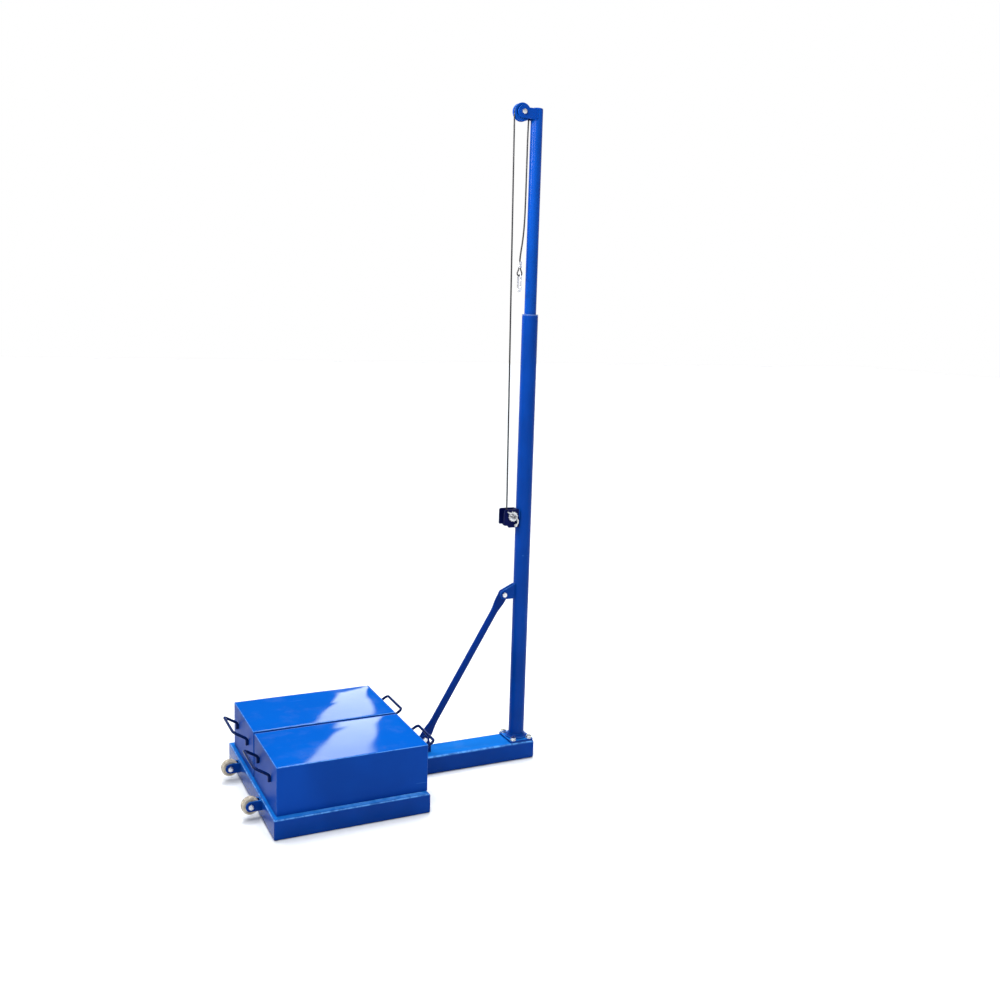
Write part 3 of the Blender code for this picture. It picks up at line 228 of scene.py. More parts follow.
def enamel(name, colour, top, gloss, side_rough, edge_wear_and_highlight):
    """Sprayed gloss paint, glossier on top, where its lighter colour is painted light from above."""
    material, tree, shader, place = new_material(name)
    tone = noise(place, 4.0, 3.0).ramp(0.32, 0.68)
    deep = (*(c * 0.86 for c in colour), 1)
    bright = (*(c * 1.10 for c in colour), 1)
    paint = blend(tone, deep, bright)
    upward = parts(add_node(tree, "ShaderNodeNewGeometry", output=1))[2]
    sky_side = upward.ramp(0.93, 0.99)
    # Faces that look up take the lighter top colour: painted light from above.
    paint = blend(sky_side * (tone * 0.15 + 0.85), paint, (*top, 1))
    edge = add_node(tree, "ShaderNodeAttribute", {"attribute_name": "edge"}, output=2)
    broken = noise(place, 38.0, 4.0, 0.65).ramp(0.36, 0.60)
    # Pale edges: partly worn paint, partly a painted highlight, stronger where an edge faces up.
    wear_and_highlight = (edge * upward.ramp(-0.3, 0.7) * (broken * 0.65 + 0.35) * edge_wear_and_highlight).clipped()
    paint = blend(wear_and_highlight, paint, WEAR_AND_HIGHLIGHT_COLOUR)
    specks = noise(place, 700.0, 2.0).ramp(0.68, 0.78)
    drift = noise(place, 11.0, 4.0, 0.6).ramp(0.50, 0.85)
    grime = (upward.ramp(0.6, 0.95) * (drift * 0.5 + specks * 0.7) * DUST).clipped()
    paint = blend(grime, paint, DUST_COLOUR)
    scratch = noise(place, 60.0, 2.0, 0.5, (0.05, 1.0, 1.0)).ramp(0.74, 0.77)
    paint = blend(scratch * 0.10, paint, WEAR_AND_HIGHLIGHT_COLOUR)
    smudge = noise(place, 18.0, 5.0, 0.6).ramp(0.50, 0.85)
    rough = smudge * 0.05 + gloss + grime * 0.4 + wear_and_highlight * 0.12 + scratch * 0.08 + (1 - sky_side) * side_rough
    peel = noise(place, PEEL_SCALE, 1.0)
    normal = bump(peel, 1.0, PEEL_DEPTH)
    plug(tree, shader, Base_Color=paint, Roughness=rough, Normal=normal, Specular_IOR_Level=ENAMEL_SPECULAR)
    return material


materials = {name: enamel(name, *values) for name, values in PAINTS.items()}
print("paints:", ", ".join(materials))

# %% [markdown]
# Zinc plating is a metal, so its colour is the colour of what it mirrors. It is a little cloudy, with a
# warm cast in places from the bath. Turned and sheared parts have fine marks, which are stretched noise.

# %% Zinc
def zinc_plate(name, dark, light):
    """Bright zinc, cloudy and finely scratched."""
    material, tree, shader, place = new_material(name)
    cloud = noise(place, 140.0, 4.0, 0.6).ramp(0.30, 0.72)
    shade = blend(cloud, (*dark, 1), (*light, 1))
    cast = noise(place, 45.0, 2.0).ramp(0.52, 0.72)
    shade = blend(cast * 0.35, shade, (0.80, 0.74, 0.58, 1))
    scratch = noise(place, 1400.0, 2.0, 0.5, (1.0, 0.06, 1.0))
    normal = bump(scratch, 0.5, 0.00004)
    plug(tree, shader, Base_Color=shade, Metallic=1.0, Roughness=cloud * 0.14 + 0.20, Normal=normal)
    return material


materials["zinc"] = zinc_plate("zinc", (0.48, 0.48, 0.49), (0.76, 0.77, 0.79))
# A darker zinc for the crank boss: painted shade.
materials["shaded_zinc"] = zinc_plate("shaded_zinc", (0.20, 0.20, 0.21), (0.40, 0.40, 0.42))

# %% [markdown]
# The rope's sheath follows its own UV map: U counts metres along the rope and V turns round it. A slanted
# wave in those coordinates is the print of the wires under the sheath. Rubbed tops of the strands are a
# shade paler than the grooves.

# %% Rope sheath
def rope_sheath():
    """Black plastic drawn over wire strands."""
    material, tree, shader, place = new_material("black_cable")
    spot_map = add_node(tree, "ShaderNodeUVMap", {"uv_map": "along"})
    along, around, _ = parts(spot_map)
    wires = (along * 900.0 + around * 226.2).math("SINE") * 0.5 + 0.5
    strand = (around * 37.7).math("COSINE") * 0.5 + 0.5
    rub = noise(place, 60.0, 3.0).ramp(0.45, 0.70) * strand
    shade = blend(rub * 0.7, (0.0045, 0.0045, 0.0055, 1), (0.026, 0.027, 0.031, 1))
    normal = bump(wires, 0.6, 0.00006)
    plug(tree, shader, Base_Color=shade, Roughness=rub * 0.12 + 0.34, Normal=normal, Specular_IOR_Level=0.3)
    return material


materials["black_cable"] = rope_sheath()

# %% [markdown]
# Moulded nylon is slightly mottled and dull, with a fine grain. The transport wheels pick up dirt where
# they roll, so their colour darkens with the distance from the axle. Concrete is grey, sandy and pitted.

# %% Nylon and concrete
WHEEL_AXLE_X, WHEEL_AXLE_Z = -1.078, 0.050
TREAD_FROM, TREAD_FULL = 0.0268, 0.0298
TREAD_DIRT = (0.16, 0.14, 0.12, 1)


def nylon(name, dark, light, rough, rolls=False):
    """Moulded nylon, with a dirty tread if it rolls on the floor."""
    material, tree, shader, place = new_material(name)
    cloud = noise(place, 70.0, 3.0).ramp(0.30, 0.70)
    shade = blend(cloud, (*dark, 1), (*light, 1))
    rough = cloud * 0.12 + rough
    if rolls:
        across, _, up = parts(place)
        x, z = across - WHEEL_AXLE_X, up - WHEEL_AXLE_Z
        distance = (x * x + z * z).math("SQRT")
        dirt = distance.ramp(TREAD_FROM, TREAD_FULL) * noise(place, 120.0, 4.0, 0.6).ramp(0.25, 0.60)
        shade = blend(dirt * 0.75, shade, TREAD_DIRT)
        rough = rough + dirt * 0.3
    grain = noise(place, 900.0, 2.0)
    normal = bump(grain, 0.5, 0.00005)
    plug(tree, shader, Base_Color=shade, Roughness=rough, Normal=normal)
    return material


def concrete():
    """Cast concrete with sand and pits."""
    material, tree, shader, place = new_material("concrete")
    sand = noise(place, 420.0, 3.0).ramp(0.35, 0.70)
    patch = noise(place, 9.0, 4.0, 0.6).ramp(0.35, 0.65)
    shade = blend(sand, (0.22, 0.21, 0.19, 1), (0.46, 0.45, 0.42, 1))
    shade = blend(patch * 0.4, shade, (0.30, 0.28, 0.25, 1))
    pits = noise(place, 150.0, 3.0).ramp(0.62, 0.70)
    normal = bump(1 - pits, 0.8, 0.0012)
    plug(tree, shader, Base_Color=shade, Roughness=sand * 0.1 + 0.82, Normal=normal)
    return material


materials["cream_nylon"] = nylon("cream_nylon", (0.56, 0.47, 0.33), (0.74, 0.66, 0.51), 0.36, rolls=True)
materials["grey_nylon"] = nylon("grey_nylon", (0.020, 0.070, 0.250), (0.035, 0.100, 0.330), 0.34)
materials["concrete"] = concrete()

# %% [markdown]
# Every solid of the frame names its finish. Three pieces look darker in the photograph than others of the
# same finish, so they get a darker copy of it, which is painted shade. What is modelled anew further on gets
# the same finishes.

# %% Give every piece of the frame its finish
slot_of = {row["node"]: row["material_slot"] for row in frame["record"]["subparts"]}
# Darker copies for three pieces: painted shade.
finish_of = {**slot_of, "brace": "shaded_blue_enamel", "boom_lug": "shaded_blue_enamel",
             "crank_boss": "shaded_zinc"}
for node_name, node in frame["nodes"].items():
    node.data.materials.clear()
    node.data.materials.append(materials[finish_of[node_name]])
print("finishes:", len(materials), "on", len(slot_of), "pieces")

# %% [markdown]
# Most pieces below are shaped with the same few moves. An operator works on whatever is selected, so each
# piece starts by deselecting all. A finished piece gets its place put into its mesh, because the frame's
# own pieces are stored that way and everything then turns about the same origin.

# %% Workshop helpers
TOUCH = 0.0003  # gap between pieces that touch on the real thing
SIDES = ((-1, "near"), (1, "far"))
MERGE = 0.00001  # points closer than this become one
BAR_SIDES, BAR_END = 20, 0.86  # points round a bar, and how its rounded end narrows


def deselect():
    """Leave edit mode and select nothing."""
    if bpy.context.mode != "OBJECT":
        bpy.ops.object.mode_set(mode="OBJECT")
    bpy.ops.object.select_all(action="DESELECT")


def only(piece):
    """Select one piece and make it active."""
    deselect()
    piece.select_set(True)
    bpy.context.view_layer.objects.active = piece


def edit(piece, kind="VERT", action="DESELECT"):
    """Go into edit mode on a piece, with nothing of it selected, or with all of it."""
    only(piece)
    bpy.ops.object.mode_set(mode="EDIT")
    bpy.ops.mesh.select_mode(type=kind)
    bpy.ops.mesh.select_all(action=action)


def pick_edges(piece, test):
    """Select the edges whose middle passes a test, and stay in edit mode."""
    edit(piece, "EDGE")
    bpy.ops.object.mode_set(mode="OBJECT")
    points = piece.data.vertices
    for line in piece.data.edges:
        line.select = test((points[line.vertices[0]].co + points[line.vertices[1]].co) / 2)
    bpy.ops.object.mode_set(mode="EDIT")


def apply_modifier(piece, kind, **settings):
    """Add a modifier with its settings and apply it."""
    only(piece)
    change = piece.modifiers.new(kind.lower(), kind)
    for name, value in settings.items():
        setattr(change, name, value)
    bpy.ops.object.modifier_apply(modifier=change.name)


def round_edges(piece, width, segments, angle):
    """Round the edges that are sharper than an angle."""
    apply_modifier(piece, "BEVEL", width=width, segments=segments, limit_method="ANGLE",
                   angle_limit=math.radians(angle))


def settle(piece):
    """Put a piece's place, turn and scale into its mesh."""
    only(piece)
    bpy.ops.object.transform_apply(location=True, rotation=True, scale=True)
    return piece


def join(pieces):
    """Make one object of several."""
    deselect()
    for piece in pieces:
        piece.select_set(True)
    bpy.context.view_layer.objects.active = pieces[0]
    bpy.ops.object.join()
    return pieces[0]


def face_out(piece):
    """Turn all faces outward."""
    edit(piece, "VERT", "SELECT")
    bpy.ops.mesh.normals_make_consistent(inside=False)
    deselect()


def hand_over(piece, name, body, slot, *nodes, smooth=40, finish=None):
    """Name a finished piece, give it its finish and its body, and hide the solids that it stands for."""
    settle(piece)
    piece.name = name
    piece.data.name = name
    bpy.ops.object.shade_smooth_by_angle(angle=math.radians(smooth))
    piece.data.materials.clear()
    piece.data.materials.append(materials[finish or slot])
    if nodes:
        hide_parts(*nodes)
    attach(piece, body)
    deselect()
    return piece


def pull(move):
    """Extrude what is selected."""
    bpy.ops.mesh.extrude_region_move(TRANSFORM_OT_translate={"value": move})


def bend_bar(corners, bend, radius):
    """Pull a round bar along straight runs and spin it round each corner."""
    knots = [Vector(corner) for corner in corners]
    first = (knots[1] - knots[0]).normalized()
    deselect()
    bpy.ops.mesh.primitive_circle_add(vertices=BAR_SIDES, radius=radius * BAR_END, fill_type="NGON",
                                      location=knots[0], rotation=first.to_track_quat("Z", "Y").to_euler())
    bar = settle(bpy.context.object)
    edit(bar, "FACE", "SELECT")
    round_end = radius * 0.2
    pull(first * round_end)
    bpy.ops.transform.resize(value=(1 / BAR_END,) * 3)
    here = knots[0] + first * round_end
    for before, corner, after in zip(knots, knots[1:], knots[2:]):
        into = (before - corner).normalized()
        out = (after - corner).normalized()
        half = into.angle(out) / 2
        start = corner + into * bend / math.tan(half)
        pull(start - here)
        bpy.ops.mesh.spin(steps=7, angle=math.pi - 2 * half, axis=into.cross(out),
                          center=corner + (into + out).normalized() * bend / math.sin(half))
        here = corner + out * bend / math.tan(half)
    last = (knots[-1] - knots[-2]).normalized()
    pull(knots[-1] - last * round_end - here)
    pull(last * round_end)
    bpy.ops.transform.resize(value=(BAR_END,) * 3)
    face_out(bar)
    return bar


def mark_edges(piece, width):
    """Store where the rounded edges are, so that the finish can wear there and show a painted highlight."""
    mesh = piece.data
    flat = [False] * len(mesh.vertices)
    for face in mesh.polygons:
        sides = [(mesh.vertices[a].co - mesh.vertices[b].co).length for a, b in face.edge_keys]
        if face.area / max(sides) > width:
            for index in face.vertices:
                flat[index] = True
    wear_and_highlight = [float(not inner) for inner in flat]
    mesh.attributes.new("edge", "FLOAT", "POINT").data.foreach_set("value", wear_and_highlight)


# %% [markdown]
# The cable is a wire rope of six strands in a thin black sheath, 6 mm thick. It has three parts: turns on
# the drum, a taut run up to the pulley, and a free end that hangs with a snap hook. The run starts in a
# second layer over those turns, so that they can turn below it with the drum. A rope is a path with
# a lobed section that turns as it goes, so it is built ring by ring in code, and its UV map counts metres
# along it and turns round it, which the sheath's material uses.

# %% Rope maker
ROPE_RADIUS = 0.003
ROPE_GROOVE = 0.00026
ROPE_LAY = 0.039
ROPE_SIDES = 24
ROPE_STEP = 0.0024


def path_length(path):
    """The length of a broken line."""
    return sum((b - a).length for a, b in zip(path, path[1:]))


def even_points(knots, spacing):
    """Points evenly spaced along a broken line."""
    total = path_length(knots)
    steps = max(2, round(total / spacing))
    even = [knots[0]]
    walked = 0.0
    for a, b in zip(knots, knots[1:]):
        length = (b - a).length
        while len(even) < steps and walked + length >= len(even) * total / steps:
            even.append(a.lerp(b, (len(even) * total / steps - walked) / length))
        walked += length
    return even + [knots[-1]]


def smooth_line(points, fine=24):
    """A Catmull-Rom curve through the points."""
    knots = [Vector(point) for point in points]
    knots = [2 * knots[0] - knots[1]] + knots + [2 * knots[-1] - knots[-2]]
    line = []
    for a, b, c, d in zip(knots, knots[1:], knots[2:], knots[3:]):
        for i in range(fine):
            t = i / fine
            line.append(0.5 * (2 * b + (c - a) * t + (2 * a - 5 * b + 4 * c - d) * t * t
                               + (3 * b - a - 3 * c + d) * t ** 3))
    return line + [knots[-2]]


def rope_ring(distance, radius):
    """Section of the rope: six soft lobes, turned by the lay."""
    turn = 2 * math.pi * distance / ROPE_LAY
    ring = []
    for i in range(ROPE_SIDES):
        angle = 2 * math.pi * i / ROPE_SIDES
        groove = ROPE_GROOVE * radius / ROPE_RADIUS * (0.5 - 0.5 * math.cos(6 * angle))
        ring.append(((radius - groove) * math.cos(angle + turn), (radius - groove) * math.sin(angle + turn)))
    return ring


def sweep(name, path, ring_at):
    """Skin rings along a path. Each ring is turned as little as possible from the one before."""
    count = len(ring_at(0))
    tangents = [(b - a).normalized() for a, b in zip(path, path[1:])]
    tangents = [tangents[0]] + [(a + b).normalized() for a, b in zip(tangents, tangents[1:])] + [tangents[-1]]
    side = tangents[0].orthogonal().normalized()
    points, faces, walked = [], [], [0.0]
    for i, (place, along) in enumerate(zip(path, tangents)):
        if i:
            side = (side - along * side.dot(along)).normalized()
            walked.append(walked[-1] + (place - path[i - 1]).length)
        other = along.cross(side)
        points += [place + side * u + other * v for u, v in ring_at(walked[-1])]
    for i in range(len(path) - 1):
        for j in range(count):
            k = (j + 1) % count
            faces.append((i * count + j, i * count + k, (i + 1) * count + k, (i + 1) * count + j))
    last = (len(path) - 1) * count
    faces += [tuple(reversed(range(count))), tuple(range(last, last + count))]
    mesh = bpy.data.meshes.new(name)
    mesh.from_pydata(points, [], faces)
    layer = mesh.uv_layers.new(name="along")
    for number, face in enumerate(mesh.polygons[:-2]):
        i, j = divmod(number, count)
        corners = ((i, j), (i, j + 1), (i + 1, j + 1), (i + 1, j))
        for loop, (row, column) in zip(face.loop_indices, corners):
            layer.data[loop].uv = (walked[row], column / count)
    piece = bpy.data.objects.new(name, mesh)
    bpy.context.scene.collection.objects.link(piece)
    mesh.shade_smooth()
    return piece


def rope(name, path, node, radius=ROPE_RADIUS):
    """A length of rope with its finish, in the place of one of the frame's solids."""
    piece = sweep(name, path, lambda distance: rope_ring(distance, radius))
    piece.data.materials.append(materials["black_cable"])
    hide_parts(node)
    print(f"{name}: {path_length(path):.3f} m, {len(piece.data.polygons)} faces")
    return piece


# %% [markdown]
# The turns lie side by side on the drum and ride with it. The run is one piece, with its place put into
# its mesh and no body of its own. The free end comes over the pulley as half a circle and then
# follows points that were read off the photograph, with a smooth curve through them.

# %% Cable on the drum, taut run and free end
WINCH_AXLE = Vector((-0.057, 0, 0.963))
WINDING_RADIUS = 0.0153
WINDING_TURNS, WINDING_PITCH = 5, 0.0066
WINDING_SPAN = WINDING_TURNS * WINDING_PITCH
OUTER_LAYER_RADIUS = WINDING_RADIUS + 2 * ROPE_RADIUS + TOUCH
PULLEY_AXLE = Vector((-0.061, 0, 2.437))
WRAP_RADIUS = 0.029
TAIL_ROUTE = [(-0.0320, 2.437), (-0.0322, 2.420), (-0.0334, 2.392), (-0.0342, 2.352), (-0.0343, 2.290),
              (-0.0343, 2.200), (-0.0346, 2.120), (-0.0360, 2.050), (-0.0402, 1.992), (-0.0452, 1.955),
              (-0.0482, 1.932), (-0.0495, 1.916), (-0.0495, 1.9103)]


def round_axle(axle, radius, angle, along=0.0):
    """A place at an angle round an axle that lies along Y."""
    return axle + Vector((radius * math.cos(angle), along, radius * math.sin(angle)))


def drum_line():
    """The five turns of the first layer, from the drum's far end to its near end."""
    line = []
    steps = WINDING_TURNS * 48
    for i in range(steps + 1):
        angle = math.pi - 2 * math.pi * (WINDING_TURNS - WINDING_TURNS * i / steps)
        along = WINDING_SPAN / 2 - WINDING_SPAN * i / steps
        line.append(round_axle(WINCH_AXLE, WINDING_RADIUS, -angle, along))
    return line


def outer_layer():
    """The cable's way out over the first layer: round below the drum, then up."""
    line = []
    for i in range(25):
        angle = -math.pi / 4 - math.pi * 3 / 4 * i / 24
        line.append(round_axle(WINCH_AXLE, OUTER_LAYER_RADIUS, angle, -WINDING_SPAN / 2))
    return line


winding = rope("cable_turns", even_points(drum_line(), ROPE_STEP), "cable_winding")
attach(winding, "winch")

run_top = PULLEY_AXLE + Vector((-WRAP_RADIUS, 0, -TOUCH))
run = rope("cable_up", even_points([*outer_layer(), run_top], ROPE_STEP), "cable_run")
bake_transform(run)

over = [round_axle(PULLEY_AXLE, WRAP_RADIUS, math.pi - math.pi * i / 48) for i in range(49)]
free_line = even_points(over + smooth_line([(x, 0, z) for x, z in TAIL_ROUTE])[1:], ROPE_STEP)
tail = rope("cable_free_end", free_line, "cable_tail")
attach(tail, "upper_mast")

# %% [markdown]
# The free end is folded into a small eye that a pressed sleeve holds, and a snap hook of bent rod hangs
# in the eye. The sleeve starts as a cylinder that is squeezed flat and gets its edges rounded, with two
# press marks across it. The hook is a bar spun round its bends.

# %% Sleeve, eye, hook and gate
TAIL_X = -0.0495
SLEEVE_TOP, SLEEVE_LENGTH = 1.910, 0.022
SLEEVE_HALF = (0.0078, 0.0046)
SLEEVE_EDGE = 0.0012
PRESS_MARKS = (-0.0045, 0.0045)  # heights of the marks from the sleeve's middle
# The steps of each mark: their height from its middle, and the share that is left of the width.
PRESS_STEPS = ((-0.0024, 1.0), (-0.0016, 0.9), (0.0016, 0.9), (0.0024, 1.0))
EYE_ROPE, EYE_LEG, EYE_RADIUS, EYE_LENGTH = 0.0024, 0.0036, 0.0095, 0.020
HOOK_ROD, HOOK_HALF, HOOK_LENGTH = 0.003, 0.012, 0.062
HOOK_BEND = HOOK_HALF - 0.0001  # just under half the width, so that straight bits stay between
GATE_RADIUS, GATE_LENGTH, GATE_ROOM = 0.0024, 0.027, 0.0011


def make_sleeve():
    """A pressed ferrule with two pinched bands."""
    deselect()
    middle = SLEEVE_TOP - SLEEVE_LENGTH / 2
    bpy.ops.mesh.primitive_cylinder_add(vertices=32, radius=1, depth=SLEEVE_LENGTH,
                                        location=(TAIL_X, 0, middle))
    sleeve = bpy.context.object
    sleeve.scale = (*SLEEVE_HALF, 1)
    settle(sleeve)
    pick_edges(sleeve, lambda p: abs(abs(p.z - middle) - SLEEVE_LENGTH / 2) < 1e-5)
    bpy.ops.mesh.bevel(offset=SLEEVE_EDGE, segments=3, affect="EDGES")
    for band in PRESS_MARKS:
        for edge, squeeze in PRESS_STEPS:
            edit(sleeve, "VERT", "SELECT")
            height = middle + band + edge
            bpy.ops.mesh.bisect(plane_co=(0, 0, height), plane_no=(0, 0, 1))
            bpy.ops.transform.resize(value=(squeeze, squeeze, 1), center_override=(TAIL_X, 0, height))
    return hand_over(sleeve, "cable_ferrule", "upper_mast", "zinc", "cable_sleeve")


def make_eye():
    """The loop of rope below the sleeve."""
    start = SLEEVE_TOP - SLEEVE_LENGTH - TOUCH
    centre = start - EYE_LENGTH
    swing = math.acos(EYE_LEG / EYE_RADIUS) * 0.55
    legs = [(-EYE_LEG, start), (-EYE_LEG, start - 0.004)]
    loop = []
    for i in range(19):
        angle = math.pi - swing + (math.pi + 2 * swing) * i / 18
        loop.append((EYE_RADIUS * math.cos(angle), centre + EYE_RADIUS * math.sin(angle)))
    line = [Vector((TAIL_X + x, 0, z)) for x, z in legs + loop + [(-x, z) for x, z in reversed(legs)]]
    eye = rope("cable_loop", even_points(smooth_line(line, 8), ROPE_STEP / 2), "cable_eye", EYE_ROPE)
    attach(eye, "upper_mast")
    return eye, centre - EYE_RADIUS + EYE_ROPE + HOOK_ROD + 2 * TOUCH


def make_hook(top):
    """A bent rod that is open on the near side, where its gate closes it."""
    upper, lower = top - HOOK_HALF, top - HOOK_LENGTH + HOOK_HALF
    gate_top = (upper + lower) / 2 + GATE_LENGTH / 2
    gate_low = gate_top - GATE_LENGTH
    line = [(-HOOK_HALF, gate_top + TOUCH), (-HOOK_HALF, top), (HOOK_HALF, top),
            (HOOK_HALF, top - HOOK_LENGTH), (-HOOK_HALF, top - HOOK_LENGTH), (-HOOK_HALF, gate_low - TOUCH)]
    hook = bend_bar([(TAIL_X, y, z) for y, z in line], HOOK_BEND, HOOK_ROD)
    hook = hand_over(hook, "hook_rod", "hook", "zinc", "snap_hook")
    gate_foot = gate_low + GATE_ROOM
    gate = bend_bar([(TAIL_X, -HOOK_HALF, gate_foot), (TAIL_X, -HOOK_HALF, gate_top)], 0, GATE_RADIUS)
    gate = hand_over(gate, "hook_latch", "gate", "zinc", "hook_gate")
    return hook, gate


sleeve = make_sleeve()
eye, hook_top = make_eye()
hook, gate = make_hook(hook_top)
path_length(free_line)

# %% [markdown]
# The studio is a pale floor under a round sky. Up to 16 degrees above the horizon the sky is white, and
# that is what stands behind the object. Above it is a dark ceiling with windows of light. Gloss paint
# that lies flat mirrors this ceiling, so its blue stays deep, and a window shows on it as a pale patch
# with a sharp edge. Azimuths are measured in degrees from +Y towards +X.

# %% Sky
SKY_WHITE = (1.0, 1.0, 1.0, 1)
CEILING = (0.035, 0.050, 0.085, 1)
CEILING_FROM, CEILING_FULL = 15.3, 17.0
LID_WINDOW_LIGHT = (8.6, 9.1, 6.0, 1)
ROOM_WINDOW_LIGHT = (1.6, 1.7, 1.8, 1)
OVERHEAD_FROM, OVERHEAD_FULL = 66.0, 67.5
OVERHEAD_LIGHT = (2.4, 2.5, 2.6, 1)
# Windows that the lids mirror: left and right azimuth, lowest and highest height, lean of the left edge.
LID_WINDOWS = ((17.9, 18.9, 16.9, 37.0, 0.30), (16.6, 18.9, 16.9, 19.6, 0.0))
ROOM_WINDOWS = ((-75, -25, 24, 46), (65, 105, 24, 46), (125, 150, 24, 46), (-150, -110, 24, 46))


def window(sky_azimuth, sky_height, left, right, low, high, slant=0.0, soft=0.25):
    """A window of the studio: 1 inside it. Its left edge leans by slant degrees per degree of height."""
    lean = (sky_height - low) * slant
    inside = (sky_azimuth + lean).ramp(left - soft, left + soft)
    inside = inside * (1 - sky_azimuth.ramp(right - soft, right + soft))
    inside = inside * sky_height.ramp(low - soft, low + soft)
    return inside * (1 - sky_height.ramp(high - soft, high + soft))


def make_sky():
    """White round the horizon, a dark ceiling above it, and windows of light in that ceiling."""
    world = bpy.data.worlds.new("studio")
    bpy.context.scene.world = world
    world.use_nodes = True
    tree = world.node_tree
    direction = add_node(tree, "ShaderNodeTexCoord", output=0)
    x, y, z = parts(direction)
    azimuth = x.math("ARCTAN2", y) * math.degrees(1)
    height = z.math("ARCSINE") * math.degrees(1)
    ceiling = height.ramp(CEILING_FROM, CEILING_FULL)
    colour = blend(ceiling, SKY_WHITE, CEILING)
    for frame_edges in LID_WINDOWS:
        colour = blend(window(azimuth, height, *frame_edges), colour, LID_WINDOW_LIGHT)
    for frame_edges in ROOM_WINDOWS:
        colour = blend(window(azimuth, height, *frame_edges, soft=0.8), colour, ROOM_WINDOW_LIGHT)
    colour = blend(height.ramp(OVERHEAD_FROM, OVERHEAD_FULL), colour, OVERHEAD_LIGHT)
    tree.links.new(colour.socket, tree.nodes["Background"].inputs["Color"])
    tree.nodes["Background"].inputs["Strength"].default_value = 1.0


make_sky()

# %% [markdown]
# The floor is a pale sheet half a millimetre below the feet, so that nothing flickers where they touch.
# It has no shine, and it reaches so far that its edge melts into the white of the sky.

# %% Floor
FLOOR_SIZE = 60.0
FLOOR_TOP = -0.0005
FLOOR_COLOUR = (0.74, 0.75, 0.76, 1)


def make_floor():
    """A large pale sheet under the object."""
    deselect()
    bpy.ops.mesh.primitive_plane_add(size=FLOOR_SIZE, location=(0, 0, FLOOR_TOP))
    floor = bpy.context.object
    floor.name = "studio_floor"
    material, tree, shader, _ = new_material("studio_floor")
    plug(tree, shader, Base_Color=FLOOR_COLOUR, Roughness=1.0, Specular_IOR_Level=0.0)
    floor.data.materials.append(material)


make_floor()

# %% [markdown]
# Two lamps work with the sky. A broad sun stands high behind the object, so the lids are the brightest
# faces and the sides toward the camera stay deeper, as in the photograph. A softbox lights the mast, whose
# tone fades downward from there, and a strip beside its top draws a pale streak on the upper tube.

# %% Lamps
SUN_LIGHT = 2.65
SUN_SPREAD = math.radians(26)
SUN_FROM = Vector((0.10, 0.42, 1.0))
# Each lamp by the mast: its place, the place that it looks at, its width and height, and its watts.
MAST_LAMPS = {
    "mast_softbox": (Vector((-1.3, -1.0, 2.9)), Vector((0.0, 0.0, 1.7)), (0.8, 0.8), 44.0),
    "streak_strip": (Vector((-1.24, 0.15, 2.60)), Vector((0.0, 0.0, 2.42)), (0.30, 0.60), 34.0),
}


def make_lamps():
    """The sun and the lamps by the mast."""
    sun = bpy.data.lights.new("sun", "SUN")
    sun.energy = SUN_LIGHT
    sun.angle = SUN_SPREAD
    lamp = bpy.data.objects.new("sun", sun)
    lamp.rotation_euler = (-SUN_FROM).to_track_quat("-Z", "Y").to_euler()
    bpy.context.scene.collection.objects.link(lamp)
    for name, (place, target, (width, height), power) in MAST_LAMPS.items():
        panel = bpy.data.lights.new(name, "AREA")
        panel.shape = "RECTANGLE"
        panel.energy = power
        panel.size = width
        panel.size_y = height
        lamp = bpy.data.objects.new(name, panel)
        lamp.location = place
        lamp.rotation_euler = (target - place).to_track_quat("-Z", "Y").to_euler()
        bpy.context.scene.collection.objects.link(lamp)


make_lamps()
bpy.context.scene.view_settings.view_transform = "Standard"

# %% [markdown]
# A counterweight is a box of 2.5 mm sheet, folded and welded, then filled with concrete. The lid isn't
# flat: the sheet crowns by about 2 mm and has slow waves, which is what bends the reflections in the
# photograph. It starts as a grid, its rim is pulled down to make the sides, the sharp edges are rounded,
# and a cloud pattern pushes the sheet in and out before it gets its thickness.

# %% Counterweight boxes
BOX_LENGTH, BOX_WIDTH, BOX_HEIGHT = 0.528, 0.3215, 0.170
BOX_EDGE = 0.003
SHEET = 0.0025
BOX_REST = 0.0703
BOX_MIDDLE_X = -0.764
BOX_MIDDLE_Y = 0.16775
LID_CELLS = (66, 40)
SIDE_DROPS = (0.006, 0.034, 0.034, 0.034, 0.034, 0.028)
FLAT_WIDTH = 0.0012  # faces wider than this aren't part of a rounded edge
CROWN, CROWN_DEPTH = 0.0021, 0.0055
WAVE_HEIGHT, WAVE_SIZE = 0.0011, 0.13


